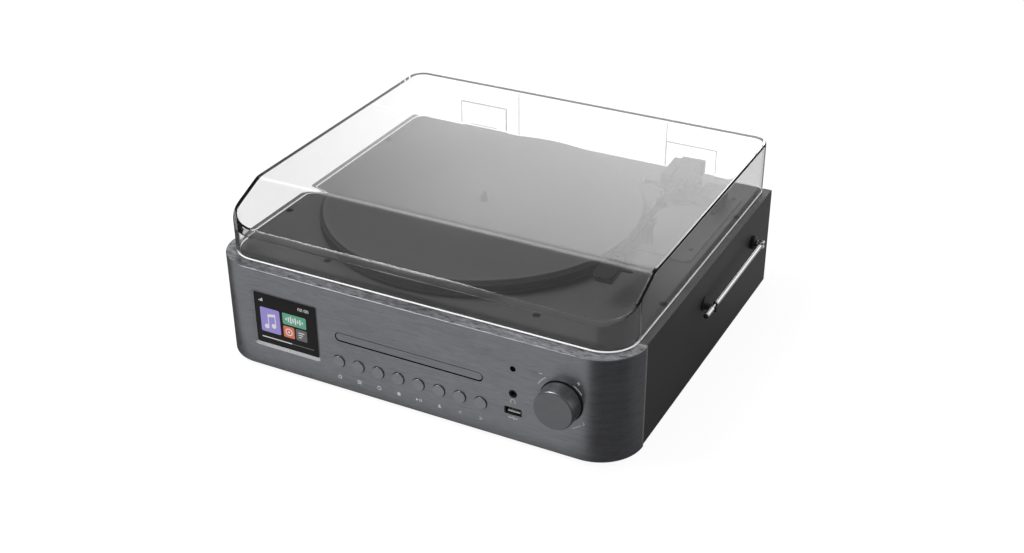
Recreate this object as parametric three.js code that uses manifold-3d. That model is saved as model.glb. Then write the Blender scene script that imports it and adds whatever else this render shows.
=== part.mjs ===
// An all-in-one music system: record player under a clear cover, disc drawer, colour display and
// folding aerial. Millimetres, +X to the right, +Y to the back, +Z up, standing on z = 0.
import * as THREE from "three";
import { mergeVertices } from "three/addons/utils/BufferGeometryUtils.js";
import Module from "manifold-3d";

const wasm = await Module();
wasm.setup();

// Clearances
const fitGap = 0.3;
const slideGap = 0.6;
const overrun = 3;

// Cabinet
const bodyCornerRadius = 38.5;
const frontWall = 4;
const frontWrap = 38.8;
const topLipDepth = 14.4;
const topLipSide = 10.4;
const topLipThickness = 3;
const sideInset = 1;
const sideThickness = 9;
const cleatWidth = 8;
const cleatHeight = 8;
const backThickness = 6;
const baseThickness = 8;
const deckThickness = 3;
const plateauRise = 1;
const plateauGap = 2;
const footHeight = 4;
const footRadius = 12;
const footFromSide = 45;
const footFromEnd = 40;
const ventWidth = 3;
const ventHeight = 26;
const ventPitch = 8;
const ventFromLeft = 120;
const ventUp = 52;
const ventCount = 6;

// Clear cover
const coverSideInset = 7.5;
const coverFrontInset = 11.4;
const coverBackOverhang = 2.7;
const coverWall = 2.8;
const coverHeight = 49.4;
const coverFrontHeight = 26;
const coverSlopeDepth = 56.5;
const coverFrontRadius = 29;
const coverBackRadius = 20;
const coverPadThickness = 0.8;
const coverPadFromLeft = 125;
const coverPadFromRight = 107;

// Cover hinges
const hingeFromSide = 84;
const hingeWidth = 51;
const hingeLeafHeight = 24;
const hingeLeafThickness = 3;
const hingeBarrelRadius = 3.6;
const hingeBarrelWidth = 30;
const hingeKnuckleWidth = 8;
const hingePinRadius = 1.5;
const hingeDrop = 4;
const hingePlateHeight = 18;
const hingePlateThickness = 2;

// Display
const screenLeftMargin = 43.9;
const screenBottomMargin = 23.3;
const screenTopMargin = 22.8;
const screenWidth = 63.4;
const screenHeight = 49.4;
const screenCornerRadius = 1.5;
const glassInset = 1.7;
const moduleMargin = 3.3;
const moduleThickness = 7;

// Disc drawer and its loader
const drawerFromScreen = 19.35;
const drawerUp = 51.7;
const drawerWidth = 139.1;
const drawerHeight = 7.7;
const drawerSlotGap = 0.45;
const drawerBezel = 4;
const drawerDepth = 172;
const trayInset = 3.15;
const trayThickness = 6;
const discWellRadius = 61;
const discWellDepth = 1.8;
const smallWellRadius = 41;
const smallWellDepth = 0.7;
const discFromBezel = 4;
const trayWindowWidth = 34;
const trayWindowLead = 17;
const loaderWall = 3;
const loaderFloor = 2;
const loaderStart = 22;
const loaderTail = 12;
const loaderDrop = 14;
const loaderRise = 8;
const railWidth = 4;
const railHeight = 2.5;
const bridgeWidth = 30;
const bridgeThickness = 2;
const clampRadius = 15;
const clampGap = 1.6;
const hubRadius = 13;
const hubHeight = 2.4;
const hubConeRadius = 7.3;
const hubConeHeight = 1.6;
const hubShaftRadius = 1.5;
const hubMotorRadius = 11;
const hubMotorHeight = 4;
const sledWidth = 44;
const sledDepth = 24;
const sledHeight = 6;
const sledStart = 27;
const sledTravel = 32;
const sledRodRadius = 1.5;
const sledRodSpread = 16;
const sledRodUp = 4;
const lensRadius = 3;
const lensHeight = 1.2;

// Front controls
const buttonCount = 8;
const buttonRowInset = 1.86;
const buttonUp = 27.3;
const buttonRadius = 5.5;
const buttonGap = 0.35;
const buttonProud = 1;
const buttonTravel = 0.8;
const buttonFlange = 1.6;
const buttonFlangeThickness = 1.5;
const buttonStemRadius = 2;
const columnFromDrawer = 27.35;
const knobFromColumn = 42.4;
const eyeUp = 68.3;
const eyeRadius = 2.15;
const jackUp = 44.7;
const jackRadius = 3.25;
const jackBoreRadius = 1.75;
const jackBoreDepth = 14;
const jackBodySize = 10;
const usbUp = 28;
const usbWidth = 14.8;
const usbHeight = 6.2;
const usbWall = 0.6;
const usbCavityDepth = 14;
const usbInset = 0.8;
const knobFromRight = 54.5;
const knobUp = 51;
const knobRadius = 17.7;
const knobFaceRadius = 17.2;
const knobLength = 14.6;
const knobStandOff = 0.9;
const knobBevel = 0.8;
const shaftRadius = 3;
const shaftEngage = 7;
const shaftTravel = 0.5;
const encoderSize = 12;
const encoderHeight = 7;
const boardSetBack = 18;
const boardThickness = 1.6;
const boardMargin = 8;
const boardLowTop = 40;
const boardTopGap = 14.5;
const switchSize = 6;
const switchHeight = 3.5;

// Record player
const deckLeftMargin = 31;
const deckFrontMargin = 26;
const deckBackMargin = 24;
const armSpace = 69;
const platterTop = 13;
const platterPlate = 3.5;
const platterSkirt = 4;
const platterUnder = 1.6;
const platterHubRadius = 12;
const beltRingRadius = 62;
const beltRingWall = 3.5;
const matInset = 3;
const matThickness = 2;
const spindleRadius = 3.5;
const spindleTipRadius = 1.2;
const spindleRise = 9;
const spindleShaftRadius = 3;
const bearingRadius = 7;
const bearingDepth = 20;
const bearingFloor = 2;
const bearingFlange = 3;
const bearingFlangeThickness = 1.3;
const motorDistance = 88;
const motorAngle = 215;
const motorRadius = 16;
const motorHeight = 22;
const motorFlangeThickness = 2;
const motorShaftRadius = 1;
const motorShaftSocket = 8;
const pulleyRadius = 5;
const pulleyFlange = 1.2;
const pulleyFlangeThickness = 0.8;
const beltHeight = 4;
const beltThickness = 0.8;
const beltUp = 4.2;
const motorHoleRadius = 9;

// Tonearm
const pivotFromRight = 67;
const pivotFromBack = 57;
const armRestAngle = 3;
const stylusOverhang = 12;
const armHeight = 26;
const armTubeRadius = 3;
const armBlockWidth = 14;
const armBlockDepth = 18;
const armBlockHeight = 9;
const armBlockGap = 1;
const armPinRadius = 1.5;
const headshellWidth = 18;
const headshellLength = 40;
const headshellThickness = 2.4;
const headshellNose = 14;
const fingerLength = 12;
const fingerWidth = 4;
const cartridgeWidth = 15;
const cartridgeLength = 26;
const cartridgeHeight = 6.6;
const stylusLength = 2.2;
const stylusRadius = 1.2;
const stubRadius = 3.2;
const stubLength = 35;
const weightRadius = 11;
const weightLength = 15;
const weightFromPivot = 18;
const yokeRadius = 14;
const yokeDiscThickness = 2.6;
const yokeEarThickness = 3;
const yokeEarDepth = 10;
const yokeEarCrown = 4;
const yokeShaftRadius = 4;
const yokeShaftLength = 8;
const armPlateThickness = 1.5;
const armPlateLeft = 24;
const armPlateRight = 47;
const armPlateFront = 112;
const armPlateBack = 24;
const armPlateRadius = 7;
const armPlateClearance = 3;
const towerRadius = 16;
const cueTowerWidth = 18;
const cueTowerDepth = 30;
const cueTowerHeight = 12;
const cueTowerSide = 17;
const restDistance = 96;
const restWidth = 12;
const restDepth = 6;
const restPostWidth = 7;
const liftRadius = 30;
const liftBarWidth = 5;
const liftBarThickness = 3;
const liftRodRadius = 2;
const liftRodAngle = 20;
const liftRodLength = 19;
const liftStartAngle = -9;
const liftEndAngle = 46;
const liftGuideRadius = 5;
const liftGuideHeight = 8;
const cueHubRadius = 4;
const cueHubWidth = 4;
const cuePinRadius = 2;
const cuePinLength = 6;
const cueLeverLength = 26;
const cueLeverThickness = 3;
const cueLeverUp = 8.5;
const cueLeverForward = 6;
const selectorFromRight = 110;
const selectorFromBack = 42;
const selectorRadius = 4.6;
const selectorHeight = 4;
const selectorShaftRadius = 2;
const selectorRidge = 1.2;

// Rear and inside
const inletFromRight = 60;
const inletUp = 30;
const inletWidth = 24;
const inletHeight = 16;
const inletDepth = 22;
const inletFlange = 3;
const inletFlangeThickness = 2;
const inletCavityWidth = 16;
const inletCavityHeight = 9;
const inletCavityDepth = 12;
const socketsFromRight = 130;
const socketsUp = 48;
const socketsWidth = 72;
const socketsHeight = 34;
const socketsPlate = 2;
const socketBodyDepth = 12;
const socketRows = 2;
const socketColumns = 4;
const socketPitch = 16;
const socketRadius = 4.15;
const socketLength = 8;
const socketBoreRadius = 1.7;
const mainBoardWidth = 150;
const mainBoardDepth = 92;
const mainBoardFromLeft = 110;
const mainBoardFromBack = 66;
const supplyWidth = 86;
const supplyDepth = 60;
const supplyFromRight = 88;
const supplyFromBack = 74;
const boardStandOff = 6;
const standOffRadius = 3;
const heatSinkWidth = 60;
const heatSinkDepth = 16;
const heatSinkHeight = 22;
const transformerWidth = 30;
const transformerDepth = 26;
const transformerHeight = 24;
const capacitorRadius = 8;
const capacitorHeight = 18;
const loaderPostRadius = 4;
const loaderPostInset = 12;

// Aerial
const aerialFromBack = 51;
const aerialUp = 65;
const aerialStandOff = 9;
const aerialBaseRadius = 6.2;
const aerialBaseLength = 4.6;
const aerialStemRadius = 2.3;
const aerialBallRadius = 3.4;
const aerialCheek = 1.6;
const aerialCheekRadius = 3.1;
const aerialTongue = 2.4;
const aerialPinRadius = 0.9;
const aerialTongueLength = 4;
const sleeveRadius = 2.4;
const sleeveBore = 1.95;
const sleeveLength = 114.5;
const middleRadius = 1.6;
const middleBore = 1.25;
const middleLength = 108;
const rodRadius = 0.9;
const rodLength = 108;
const neckLength = 8.4;
const tipRadius = 2.4;
const tipLength = 15.4;
const clipPadRadius = 6.2;
const clipPadThickness = 1.6;
const clipWidth = 4;
const clipShelf = 2.2;
const clipReach = 3.5;

// Facets round circles
const fine = 48;
const medium = 20;
const coarse = 14;
const tiny = 10;

// The body's size follows from the row on its front and from the platter with its arm
const frontRowWidth = screenLeftMargin + screenWidth + drawerFromScreen + drawerWidth;
const bodyWidth = frontRowWidth + columnFromDrawer + knobFromColumn + knobFromRight;
const bodyHeight = screenBottomMargin + screenHeight + screenTopMargin;
const platterRadius = (bodyWidth - deckLeftMargin - armSpace) / 2;
const bodyDepth = deckFrontMargin + 2 * platterRadius + deckBackMargin;

// Places that several pieces share
const frontFace = -bodyDepth / 2;
const backFace = bodyDepth / 2;
const sideFace = bodyWidth / 2 - sideInset;
const sideInner = sideFace - sideThickness;
const panelEnd = frontFace + frontWrap;
const deckTop = bodyHeight + plateauRise;
const deckUnder = bodyHeight - deckThickness;
const platterX = deckLeftMargin + platterRadius - bodyWidth / 2;
const platterY = frontFace + deckFrontMargin + platterRadius;
const pivotX = bodyWidth / 2 - pivotFromRight;
const pivotY = backFace - pivotFromBack;
const pivotToSpindle = Math.hypot(pivotX - platterX, pivotY - platterY);
const armReach = pivotToSpindle + stylusOverhang;
const selectorX = bodyWidth / 2 - selectorFromRight;
const selectorY = backFace - selectorFromBack;
const screenX = screenLeftMargin + screenWidth / 2 - bodyWidth / 2;
const screenUp = screenBottomMargin + screenHeight / 2;
const drawerX = frontRowWidth - drawerWidth / 2 - bodyWidth / 2;
const knobX = bodyWidth / 2 - knobFromRight;
const columnX = knobX - knobFromColumn;
const buttonPitch = (drawerWidth - 2 * buttonRowInset) / (buttonCount - 1);
const motorX = motorDistance * Math.cos(THREE.MathUtils.degToRad(motorAngle));
const motorY = motorDistance * Math.sin(THREE.MathUtils.degToRad(motorAngle));
const coverHalfWidth = bodyWidth / 2 - coverSideInset;
const coverFront = frontFace + coverFrontInset;
const coverBack = backFace + coverBackOverhang;
const hingeY = coverBack + fitGap + hingeLeafThickness + fitGap;
const hingeZ = bodyHeight - hingeDrop;
const trayWidth = drawerWidth - 2 * trayInset;
const loaderBottom = drawerUp - loaderDrop;
const loaderHalf = trayWidth / 2 + slideGap + loaderWall;
const loaderEnd = drawerDepth + loaderTail;
const discCentre = drawerBezel + discFromBezel + discWellRadius;
const boardFront = boardSetBack;

// Turns a closed three.js geometry into a solid.
function solidFrom(geometry) {
  const bare = new THREE.BufferGeometry();
  bare.setAttribute("position", geometry.getAttribute("position"));
  bare.setIndex(geometry.getIndex());
  const merged = mergeVertices(bare);
  const position = merged.getAttribute("position");
  const corners = Array.from(merged.getIndex().array);
  const triangles = [];
  for (let i = 0; i < corners.length; i += 3) {
    const [a, b, c] = corners.slice(i, i + 3);
    if (a !== b && b !== c && c !== a) triangles.push(a, b, c);
  }
  if (signedVolume(position, triangles) < 0) triangles.reverse();
  const mesh = new wasm.Mesh({
    numProp: 3,
    vertProperties: Float32Array.from(position.array),
    triVerts: Uint32Array.from(triangles),
  });
  return new wasm.Manifold(mesh);
}

// Six times the volume inside the triangles, negative where they face inwards.
function signedVolume(position, triangles) {
  const [a, b, c] = [new THREE.Vector3(), new THREE.Vector3(), new THREE.Vector3()];
  let sum = 0;
  for (let i = 0; i < triangles.length; i += 3) {
    a.fromBufferAttribute(position, triangles[i]);
    b.fromBufferAttribute(position, triangles[i + 1]);
    c.fromBufferAttribute(position, triangles[i + 2]);
    sum += a.dot(b.cross(c));
  }
  return sum;
}

// A box from its size, its centre in plan and its lowest height.
function block(width, depth, height, x = 0, y = 0, z = 0) {
  return solidFrom(new THREE.BoxGeometry(width, depth, height).translate(x, y, z + height / 2));
}

// An outline in plan, raised from z by a height.
function raised(shape, height, z = 0, curveSegments = 3) {
  const settings = { depth: height, bevelEnabled: false, curveSegments };
  return solidFrom(new THREE.ExtrudeGeometry(shape, settings).translate(0, 0, z));
}

// An outline drawn as seen from the front, from y back to y plus a depth.
function inward(shape, depth, y = 0, curveSegments = 3) {
  const settings = { depth, bevelEnabled: false, curveSegments };
  const geometry = new THREE.ExtrudeGeometry(shape, settings);
  return solidFrom(geometry.rotateX(Math.PI / 2).translate(0, y + depth, 0));
}

// A side view outline, y across and z up, stretched between two x places.
function across(shape, fromX, toX) {
  const settings = { depth: toX - fromX, bevelEnabled: false };
  const geometry = new THREE.ExtrudeGeometry(shape, settings);
  return solidFrom(geometry.rotateX(Math.PI / 2).rotateZ(Math.PI / 2).translate(fromX, 0, 0));
}

// A profile of [radius, height] pairs turned about an upright axis.
function turned(profile, facets, x = 0, y = 0, z = 0) {
  const points = profile.map(([radius, height]) => new THREE.Vector2(radius, height));
  const geometry = new THREE.LatheGeometry(points, facets);
  return solidFrom(geometry.rotateX(Math.PI / 2).translate(x, y, z));
}

// A profile of [radius, depth] pairs turned about an axis that runs back from the front.
function turnedInward(profile, facets, x = 0, z = 0, y = 0) {
  const points = profile.map(([radius, depth]) => new THREE.Vector2(radius, depth));
  return solidFrom(new THREE.LatheGeometry(points, facets).translate(x, y, z));
}

// An upright round bar.
function post(radius, height, facets, x = 0, y = 0, z = 0) {
  return turned([[0, 0], [radius, 0], [radius, height], [0, height]], facets, x, y, z);
}

// A round bar that runs back from the front.
function barInward(radius, length, facets, x = 0, z = 0, y = 0) {
  return turnedInward([[0, 0], [radius, 0], [radius, length], [0, length]], facets, x, z, y);
}

// A round bar that runs to the right.
function barAcross(radius, length, facets, x = 0, y = 0, z = 0) {
  const geometry = new THREE.CylinderGeometry(radius, radius, length, facets);
  return solidFrom(geometry.rotateZ(Math.PI / 2).translate(x + length / 2, y, z));
}

// A rectangle with rounded corners about a centre.
function roundedRectangle(width, height, radius, x = 0, y = 0) {
  const [left, right] = [x - width / 2, x + width / 2];
  const [low, high] = [y - height / 2, y + height / 2];
  const shape = new THREE.Shape();
  shape.absarc(right - radius, low + radius, radius, -Math.PI / 2, 0);
  shape.absarc(right - radius, high - radius, radius, 0, Math.PI / 2);
  shape.absarc(left + radius, high - radius, radius, Math.PI / 2, Math.PI);
  shape.absarc(left + radius, low + radius, radius, Math.PI, Math.PI * 1.5);
  return shape;
}

// The plan of the body's front part, set in from its face and sides, with its two round corners.
function frontPlan(inset, sideInset, back) {
  const half = bodyWidth / 2 - sideInset;
  const front = frontFace + inset;
  const radius = bodyCornerRadius - inset;
  const shape = new THREE.Shape();
  shape.moveTo(-half, back);
  shape.lineTo(-half, front + radius);
  shape.absarc(-half + radius, front + radius, radius, Math.PI, Math.PI * 1.5);
  shape.absarc(half - radius, front + radius, radius, Math.PI * 1.5, Math.PI * 2);
  shape.lineTo(half, back);
  return shape;
}

// The same plan with a narrower part behind it, between the side panels.
function steppedPlan(inset, sideInset, step, back) {
  const rearHalf = sideInner - fitGap;
  const shape = frontPlan(inset, sideInset, step);
  shape.lineTo(rearHalf, step);
  shape.lineTo(rearHalf, back);
  shape.lineTo(-rearHalf, back);
  shape.lineTo(-rearHalf, step);
  return shape;
}

// The cover's plan, set in by a wall, with larger corners at the front.
function coverPlan(inset) {
  const half = coverHalfWidth - inset;
  const front = coverFront + inset;
  const back = coverBack - inset;
  const frontRadius = coverFrontRadius - inset;
  const backRadius = coverBackRadius - inset;
  const shape = new THREE.Shape();
  shape.absarc(half - frontRadius, front + frontRadius, frontRadius, -Math.PI / 2, 0);
  shape.absarc(half - backRadius, back - backRadius, backRadius, 0, Math.PI / 2);
  shape.absarc(-half + backRadius, back - backRadius, backRadius, Math.PI / 2, Math.PI);
  shape.absarc(-half + frontRadius, front + frontRadius, frontRadius, Math.PI, Math.PI * 1.5);
  return shape;
}

// The cover's side view: low front wall, sloping front, flat top. A wall sets it in.
function coverProfile(inset, bottom) {
  const run = coverSlopeDepth;
  const rise = coverHeight - coverFrontHeight;
  const shorten = (inset * (Math.hypot(run, rise) - rise)) / run;
  const lower = (inset * (Math.hypot(run, rise) - run)) / rise;
  const front = coverFront + inset;
  const back = coverBack - inset;
  const top = bodyHeight + coverHeight - inset;
  const shape = new THREE.Shape();
  shape.moveTo(front, bottom);
  shape.lineTo(back, bottom);
  shape.lineTo(back, top);
  shape.lineTo(coverFront + run + lower, top);
  shape.lineTo(front, bodyHeight + coverFrontHeight - shorten);
  return shape;
}

// A quarter turn or any other angle, given in degrees.
function degrees(angle) {
  return THREE.MathUtils.degToRad(angle);
}

// Repeats a place maker and joins what it gives.
function joined(solids) {
  return solids.reduce((whole, next) => whole.add(next));
}

// Front openings

function screenOpening(grow) {
  const radius = screenCornerRadius + grow;
  const shape = roundedRectangle(screenWidth + 2 * grow, screenHeight + 2 * grow, radius, 0, 0);
  return shape;
}

function drawerOutline(grow) {
  const width = drawerWidth + 2 * grow;
  const height = drawerHeight + 2 * grow;
  return roundedRectangle(width, height, height / 2, 0, 0);
}

function usbOutline(grow) {
  return roundedRectangle(usbWidth + 2 * grow, usbHeight + 2 * grow, usbWall + grow, 0, 0);
}

function buttonX(index) {
  return drawerX + (index - (buttonCount - 1) / 2) * buttonPitch;
}

// Everything that the front panel's face is pierced for, in the panel's own frame.
function frontCuts() {
  const depth = frontWall + 2 * overrun;
  const start = -overrun;
  const cuts = [
    inward(screenOpening(0), depth, start, 2).translate(screenX, 0, screenUp),
    inward(drawerOutline(drawerSlotGap), depth, start, 4).translate(drawerX, 0, drawerUp),
    inward(usbOutline(fitGap), depth, start, 1).translate(columnX, 0, usbUp),
    barInward(eyeRadius + fitGap, depth, tiny, columnX, eyeUp, start),
    barInward(jackRadius + fitGap, depth, coarse, columnX, jackUp, start),
    barInward(shaftRadius + slideGap, depth, coarse, knobX, knobUp, start),
  ];
  for (let index = 0; index < buttonCount; index += 1) {
    const radius = buttonRadius + buttonGap;
    cuts.push(barInward(radius, depth, medium, buttonX(index), buttonUp, start));
  }
  return joined(cuts);
}

// Cabinet, in a frame whose origin is the middle of the body's underside

function frontPanel() {
  const cutEnd = panelEnd + overrun;
  const outer = raised(frontPlan(0, 0, panelEnd), bodyHeight, 0, 5);
  const hollowHeight = bodyHeight - topLipThickness + overrun;
  const hollow = raised(frontPlan(frontWall, frontWall, cutEnd), hollowHeight, -overrun, 5);
  const mouth = raised(frontPlan(topLipDepth, topLipSide, cutEnd), bodyHeight, overrun, 5);
  return outer.subtract(hollow).subtract(mouth).subtract(frontCuts().translate(0, frontFace, 0));
}

function sidePanel(side) {
  const start = panelEnd + fitGap;
  const length = backFace - start;
  const middle = start + length / 2;
  const wall = block(sideThickness, length, bodyHeight, sideInner + sideThickness / 2, middle);
  const cleatLength = length - backThickness - 2 * cleatWidth;
  const cleatTop = deckUnder - fitGap;
  const cleat = block(
    cleatWidth + overrun,
    cleatLength,
    cleatHeight,
    sideInner - (cleatWidth - overrun) / 2,
    start + cleatWidth + cleatLength / 2,
    cleatTop - cleatHeight,
  );
  const panel = wall.add(cleat);
  return side > 0 ? panel : panel.mirror([1, 0, 0]);
}

function basePanel() {
  const inset = frontWall + fitGap;
  const plan = steppedPlan(inset, inset, panelEnd, backFace - backThickness - fitGap);
  return joined([raised(plan, baseThickness, 0, 4), ...loaderPosts(), ...boardPosts()]);
}

// Four posts that carry the disc loader.
function loaderPosts() {
  const places = [];
  const height = loaderBottom - fitGap - baseThickness + overrun;
  for (const side of [-1, 1]) {
    for (const depth of [loaderStart + loaderPostInset, loaderEnd - loaderPostInset]) {
      const x = drawerX + side * (loaderHalf - loaderPostInset);
      places.push(post(loaderPostRadius, height, tiny, x, frontFace + depth, baseThickness - overrun));
    }
  }
  return places;
}

// Four stand-offs under each circuit board.
function boardPosts() {
  const boards = [
    [mainBoardX(), mainBoardY(), mainBoardWidth, mainBoardDepth],
    [supplyX(), supplyY(), supplyWidth, supplyDepth],
  ];
  const inset = 2 * standOffRadius;
  const height = boardStandOff - fitGap + overrun;
  const places = [];
  for (const [x, y, width, depth] of boards) {
    for (const side of [-1, 1]) {
      for (const end of [-1, 1]) {
        const postX = x + side * (width / 2 - inset);
        const postY = y + end * (depth / 2 - inset);
        places.push(post(standOffRadius, height, tiny, postX, postY, baseThickness - overrun));
      }
    }
  }
  return places;
}

function mainBoardX() {
  return mainBoardFromLeft - bodyWidth / 2;
}

function mainBoardY() {
  return backFace - mainBoardFromBack;
}

function supplyX() {
  return bodyWidth / 2 - supplyFromRight;
}

function supplyY() {
  return backFace - supplyFromBack;
}

function backPanel() {
  const width = 2 * (sideInner - fitGap);
  const height = deckUnder - fitGap;
  const middle = backFace - backThickness / 2;
  const panel = block(width, backThickness, height, 0, middle);
  const depth = backThickness + 2 * overrun;
  const cuts = [
    block(
      inletWidth + 2 * fitGap,
      depth,
      inletHeight + 2 * fitGap,
      inletX(),
      middle,
      inletUp - inletHeight / 2 - fitGap,
    ),
    block(
      socketBodyWidth() + 2 * fitGap,
      depth,
      socketBodyHeight() + 2 * fitGap,
      socketsX(),
      middle,
      socketsUp - socketBodyHeight() / 2 - fitGap,
    ),
  ];
  for (let index = 0; index < ventCount; index += 1) {
    const x = ventFromLeft - bodyWidth / 2 + (index - (ventCount - 1) / 2) * ventPitch;
    cuts.push(block(ventWidth, depth, ventHeight, x, middle, ventUp - ventHeight / 2));
  }
  return panel.subtract(joined(cuts));
}

function inletX() {
  return bodyWidth / 2 - inletFromRight;
}

function socketsX() {
  return bodyWidth / 2 - socketsFromRight;
}

function deckPlate() {
  const step = panelEnd + fitGap;
  const plan = steppedPlan(topLipDepth + fitGap, topLipSide + fitGap, step, backFace);
  const sheet = raised(plan, deckThickness, deckUnder, 4);
  const plateauHeight = plateauRise + deckThickness / 2;
  const plateau = raised(coverPlan(coverWall + plateauGap), plateauHeight, deckTop - plateauHeight, 4);
  const depth = deckThickness + plateauRise + 2 * overrun;
  const low = deckUnder - overrun;
  const cuts = [
    post(bearingRadius + fitGap, depth, medium, platterX, platterY, low),
    post(motorHoleRadius, depth, coarse, platterX + motorX, platterY + motorY, low),
    post(selectorShaftRadius + fitGap, depth, tiny, selectorX, selectorY, low),
  ];
  return sheet.add(plateau).subtract(joined(cuts));
}

function foot() {
  return post(footRadius, footHeight - fitGap, medium);
}

// Cover and hinges, in the cabinet's frame

function dustCover() {
  const bottom = bodyHeight + fitGap;
  const height = coverHeight + 2 * overrun;
  const outer = raised(coverPlan(0), height, bottom - overrun, 5).intersect(
    across(coverProfile(0, bottom), -bodyWidth, bodyWidth),
  );
  const inner = raised(coverPlan(coverWall), height, bottom - 2 * overrun, 5).intersect(
    across(coverProfile(coverWall, bottom - overrun), -bodyWidth, bodyWidth),
  );
  const padDepth = coverWall / 2 + coverPadThickness;
  const padHeight = coverHeight - fitGap - coverWall / 2;
  const pad = block(
    bodyWidth - coverPadFromLeft - coverPadFromRight,
    padDepth,
    padHeight,
    (coverPadFromLeft - coverPadFromRight) / 2,
    coverBack - coverWall - coverPadThickness + padDepth / 2,
    bottom,
  );
  return outer.subtract(inner).add(pad);
}

// The clear leaf behind the cover's back wall, with its barrel, about its own middle.
function hingeLeaf() {
  const leafY = coverBack + fitGap + hingeLeafThickness / 2;
  const leafBottom = bodyHeight + fitGap;
  const leaf = block(hingeWidth, hingeLeafThickness, hingeLeafHeight, 0, leafY, leafBottom);
  const neck = block(
    hingeBarrelWidth,
    hingeLeafThickness,
    leafBottom - hingeZ + overrun / 2,
    0,
    leafY,
    hingeZ,
  );
  const half = hingeBarrelWidth / 2;
  const barrel = barAcross(hingeBarrelRadius, hingeBarrelWidth, coarse, -half, hingeY, hingeZ);
  const bore = barAcross(
    hingePinRadius + fitGap,
    hingeBarrelWidth + 2 * overrun,
    coarse,
    -half - overrun,
    hingeY,
    hingeZ,
  );
  return leaf.add(neck).add(barrel).subtract(bore);
}

// The plate on the cabinet's back with two knuckles and the pin between them.
function hingeBracket() {
  const plateTop = hingeZ - hingeBarrelRadius - fitGap;
  const plateY = backFace + fitGap + hingePlateThickness / 2;
  const knuckleStart = hingeBarrelWidth / 2 + fitGap;
  const width = 2 * (knuckleStart + hingeKnuckleWidth);
  const plate = block(width, hingePlateThickness, hingePlateHeight, 0, plateY, plateTop - hingePlateHeight);
  const parts = [plate, barAcross(hingePinRadius, width - overrun, coarse, -(width - overrun) / 2, hingeY, hingeZ)];
  for (const side of [-1, 1]) {
    const start = side > 0 ? knuckleStart : -knuckleStart - hingeKnuckleWidth;
    parts.push(barAcross(hingeBarrelRadius, hingeKnuckleWidth, coarse, start, hingeY, hingeZ));
    const armDepth = hingeY - backFace - fitGap;
    parts.push(
      block(
        hingeKnuckleWidth,
        armDepth,
        2 * hingeBarrelRadius + fitGap,
        start + hingeKnuckleWidth / 2,
        backFace + fitGap + armDepth / 2,
        plateTop - hingeBarrelRadius - fitGap,
      ),
    );
  }
  return joined(parts);
}

// Display, in the front panel's frame: y runs inwards from the face

function displayWindow() {
  const thickness = frontWall - glassInset;
  return inward(screenOpening(-fitGap), thickness, glassInset, 1);
}

function displayModule() {
  const width = screenWidth + 2 * moduleMargin;
  const height = screenHeight + 2 * moduleMargin;
  const y = frontWall + fitGap + moduleThickness / 2;
  return block(width, moduleThickness, height, 0, y, -height / 2);
}

// Disc drawer: the bezel fills the slot and the tray runs in the loader's rails

function discDrawer() {
  const bezel = inward(drawerOutline(0), drawerBezel, 0, 4);
  const trayLength = drawerDepth - drawerBezel;
  const trayMiddle = drawerBezel + trayLength / 2;
  const tray = block(
    trayWidth,
    trayLength + 2 * fitGap,
    trayThickness,
    0,
    trayMiddle - fitGap,
    -trayThickness / 2,
  );
  const top = trayThickness / 2;
  const well = post(discWellRadius, discWellDepth + overrun, fine, 0, discCentre, top - discWellDepth);
  const smallWell = post(
    smallWellRadius,
    overrun + discWellDepth,
    medium,
    0,
    discCentre,
    top - discWellDepth - smallWellDepth,
  );
  const windowFront = discCentre - trayWindowLead;
  const windowLength = drawerDepth - windowFront + overrun;
  const window = block(
    trayWindowWidth,
    windowLength,
    trayThickness + 2 * overrun,
    0,
    windowFront + windowLength / 2,
    -trayThickness / 2 - overrun,
  );
  return bezel.add(tray).subtract(well).subtract(smallWell).subtract(window);
}

// The loader's tray-shaped chassis with rails, clamp bridge, hub motor and sled rods.
function loaderFrame() {
  const length = loaderEnd - loaderStart;
  const middle = loaderStart + length / 2;
  const bottom = -loaderDrop;
  const height = loaderDrop + loaderRise;
  const parts = [block(2 * loaderHalf, length, loaderFloor, 0, middle, bottom)];
  for (const side of [-1, 1]) {
    const wallX = side * (loaderHalf - loaderWall / 2);
    parts.push(block(loaderWall, length, height, wallX, middle, bottom));
    const railX = side * (loaderHalf - loaderWall - railWidth / 2 + overrun / 4);
    const railSpan = railWidth + overrun / 2;
    const railTop = -trayThickness / 2 - fitGap;
    parts.push(block(railSpan, length, railHeight, railX, middle, railTop - railHeight));
    parts.push(block(railSpan, length, railHeight, railX, middle, trayThickness / 2 + slideGap));
    const rodX = side * sledRodSpread;
    const rodY = discCentre + sledStart - sledDepth / 2 - sledRodUp;
    const rodLength = sledTravel + sledDepth + 2 * sledRodUp;
    const rodZ = bottom + loaderFloor + sledRodUp;
    parts.push(barInward(sledRodRadius, rodLength, tiny, rodX, rodZ, rodY));
    for (const end of [rodY, rodY + rodLength]) {
      const standHeight = sledRodUp + sledRodRadius;
      const standZ = bottom + loaderFloor / 2;
      parts.push(block(2 * sledRodRadius, 2 * sledRodRadius, standHeight + loaderFloor / 2, rodX, end, standZ));
    }
  }
  const bridgeZ = loaderRise - bridgeThickness;
  parts.push(block(2 * loaderHalf, bridgeWidth, bridgeThickness, 0, discCentre, bridgeZ));
  const clampBottom = trayThickness / 2 + clampGap;
  parts.push(post(clampRadius, bridgeZ - clampBottom + bridgeThickness / 2, coarse, 0, discCentre, clampBottom));
  const motorZ = bottom + loaderFloor / 2;
  parts.push(post(hubMotorRadius, hubMotorHeight + loaderFloor / 2, coarse, 0, discCentre, motorZ));
  const socket = post(
    hubShaftRadius + fitGap,
    hubMotorHeight + overrun,
    tiny,
    0,
    discCentre,
    bottom + loaderFloor,
  );
  return joined(parts).subtract(socket);
}

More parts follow.
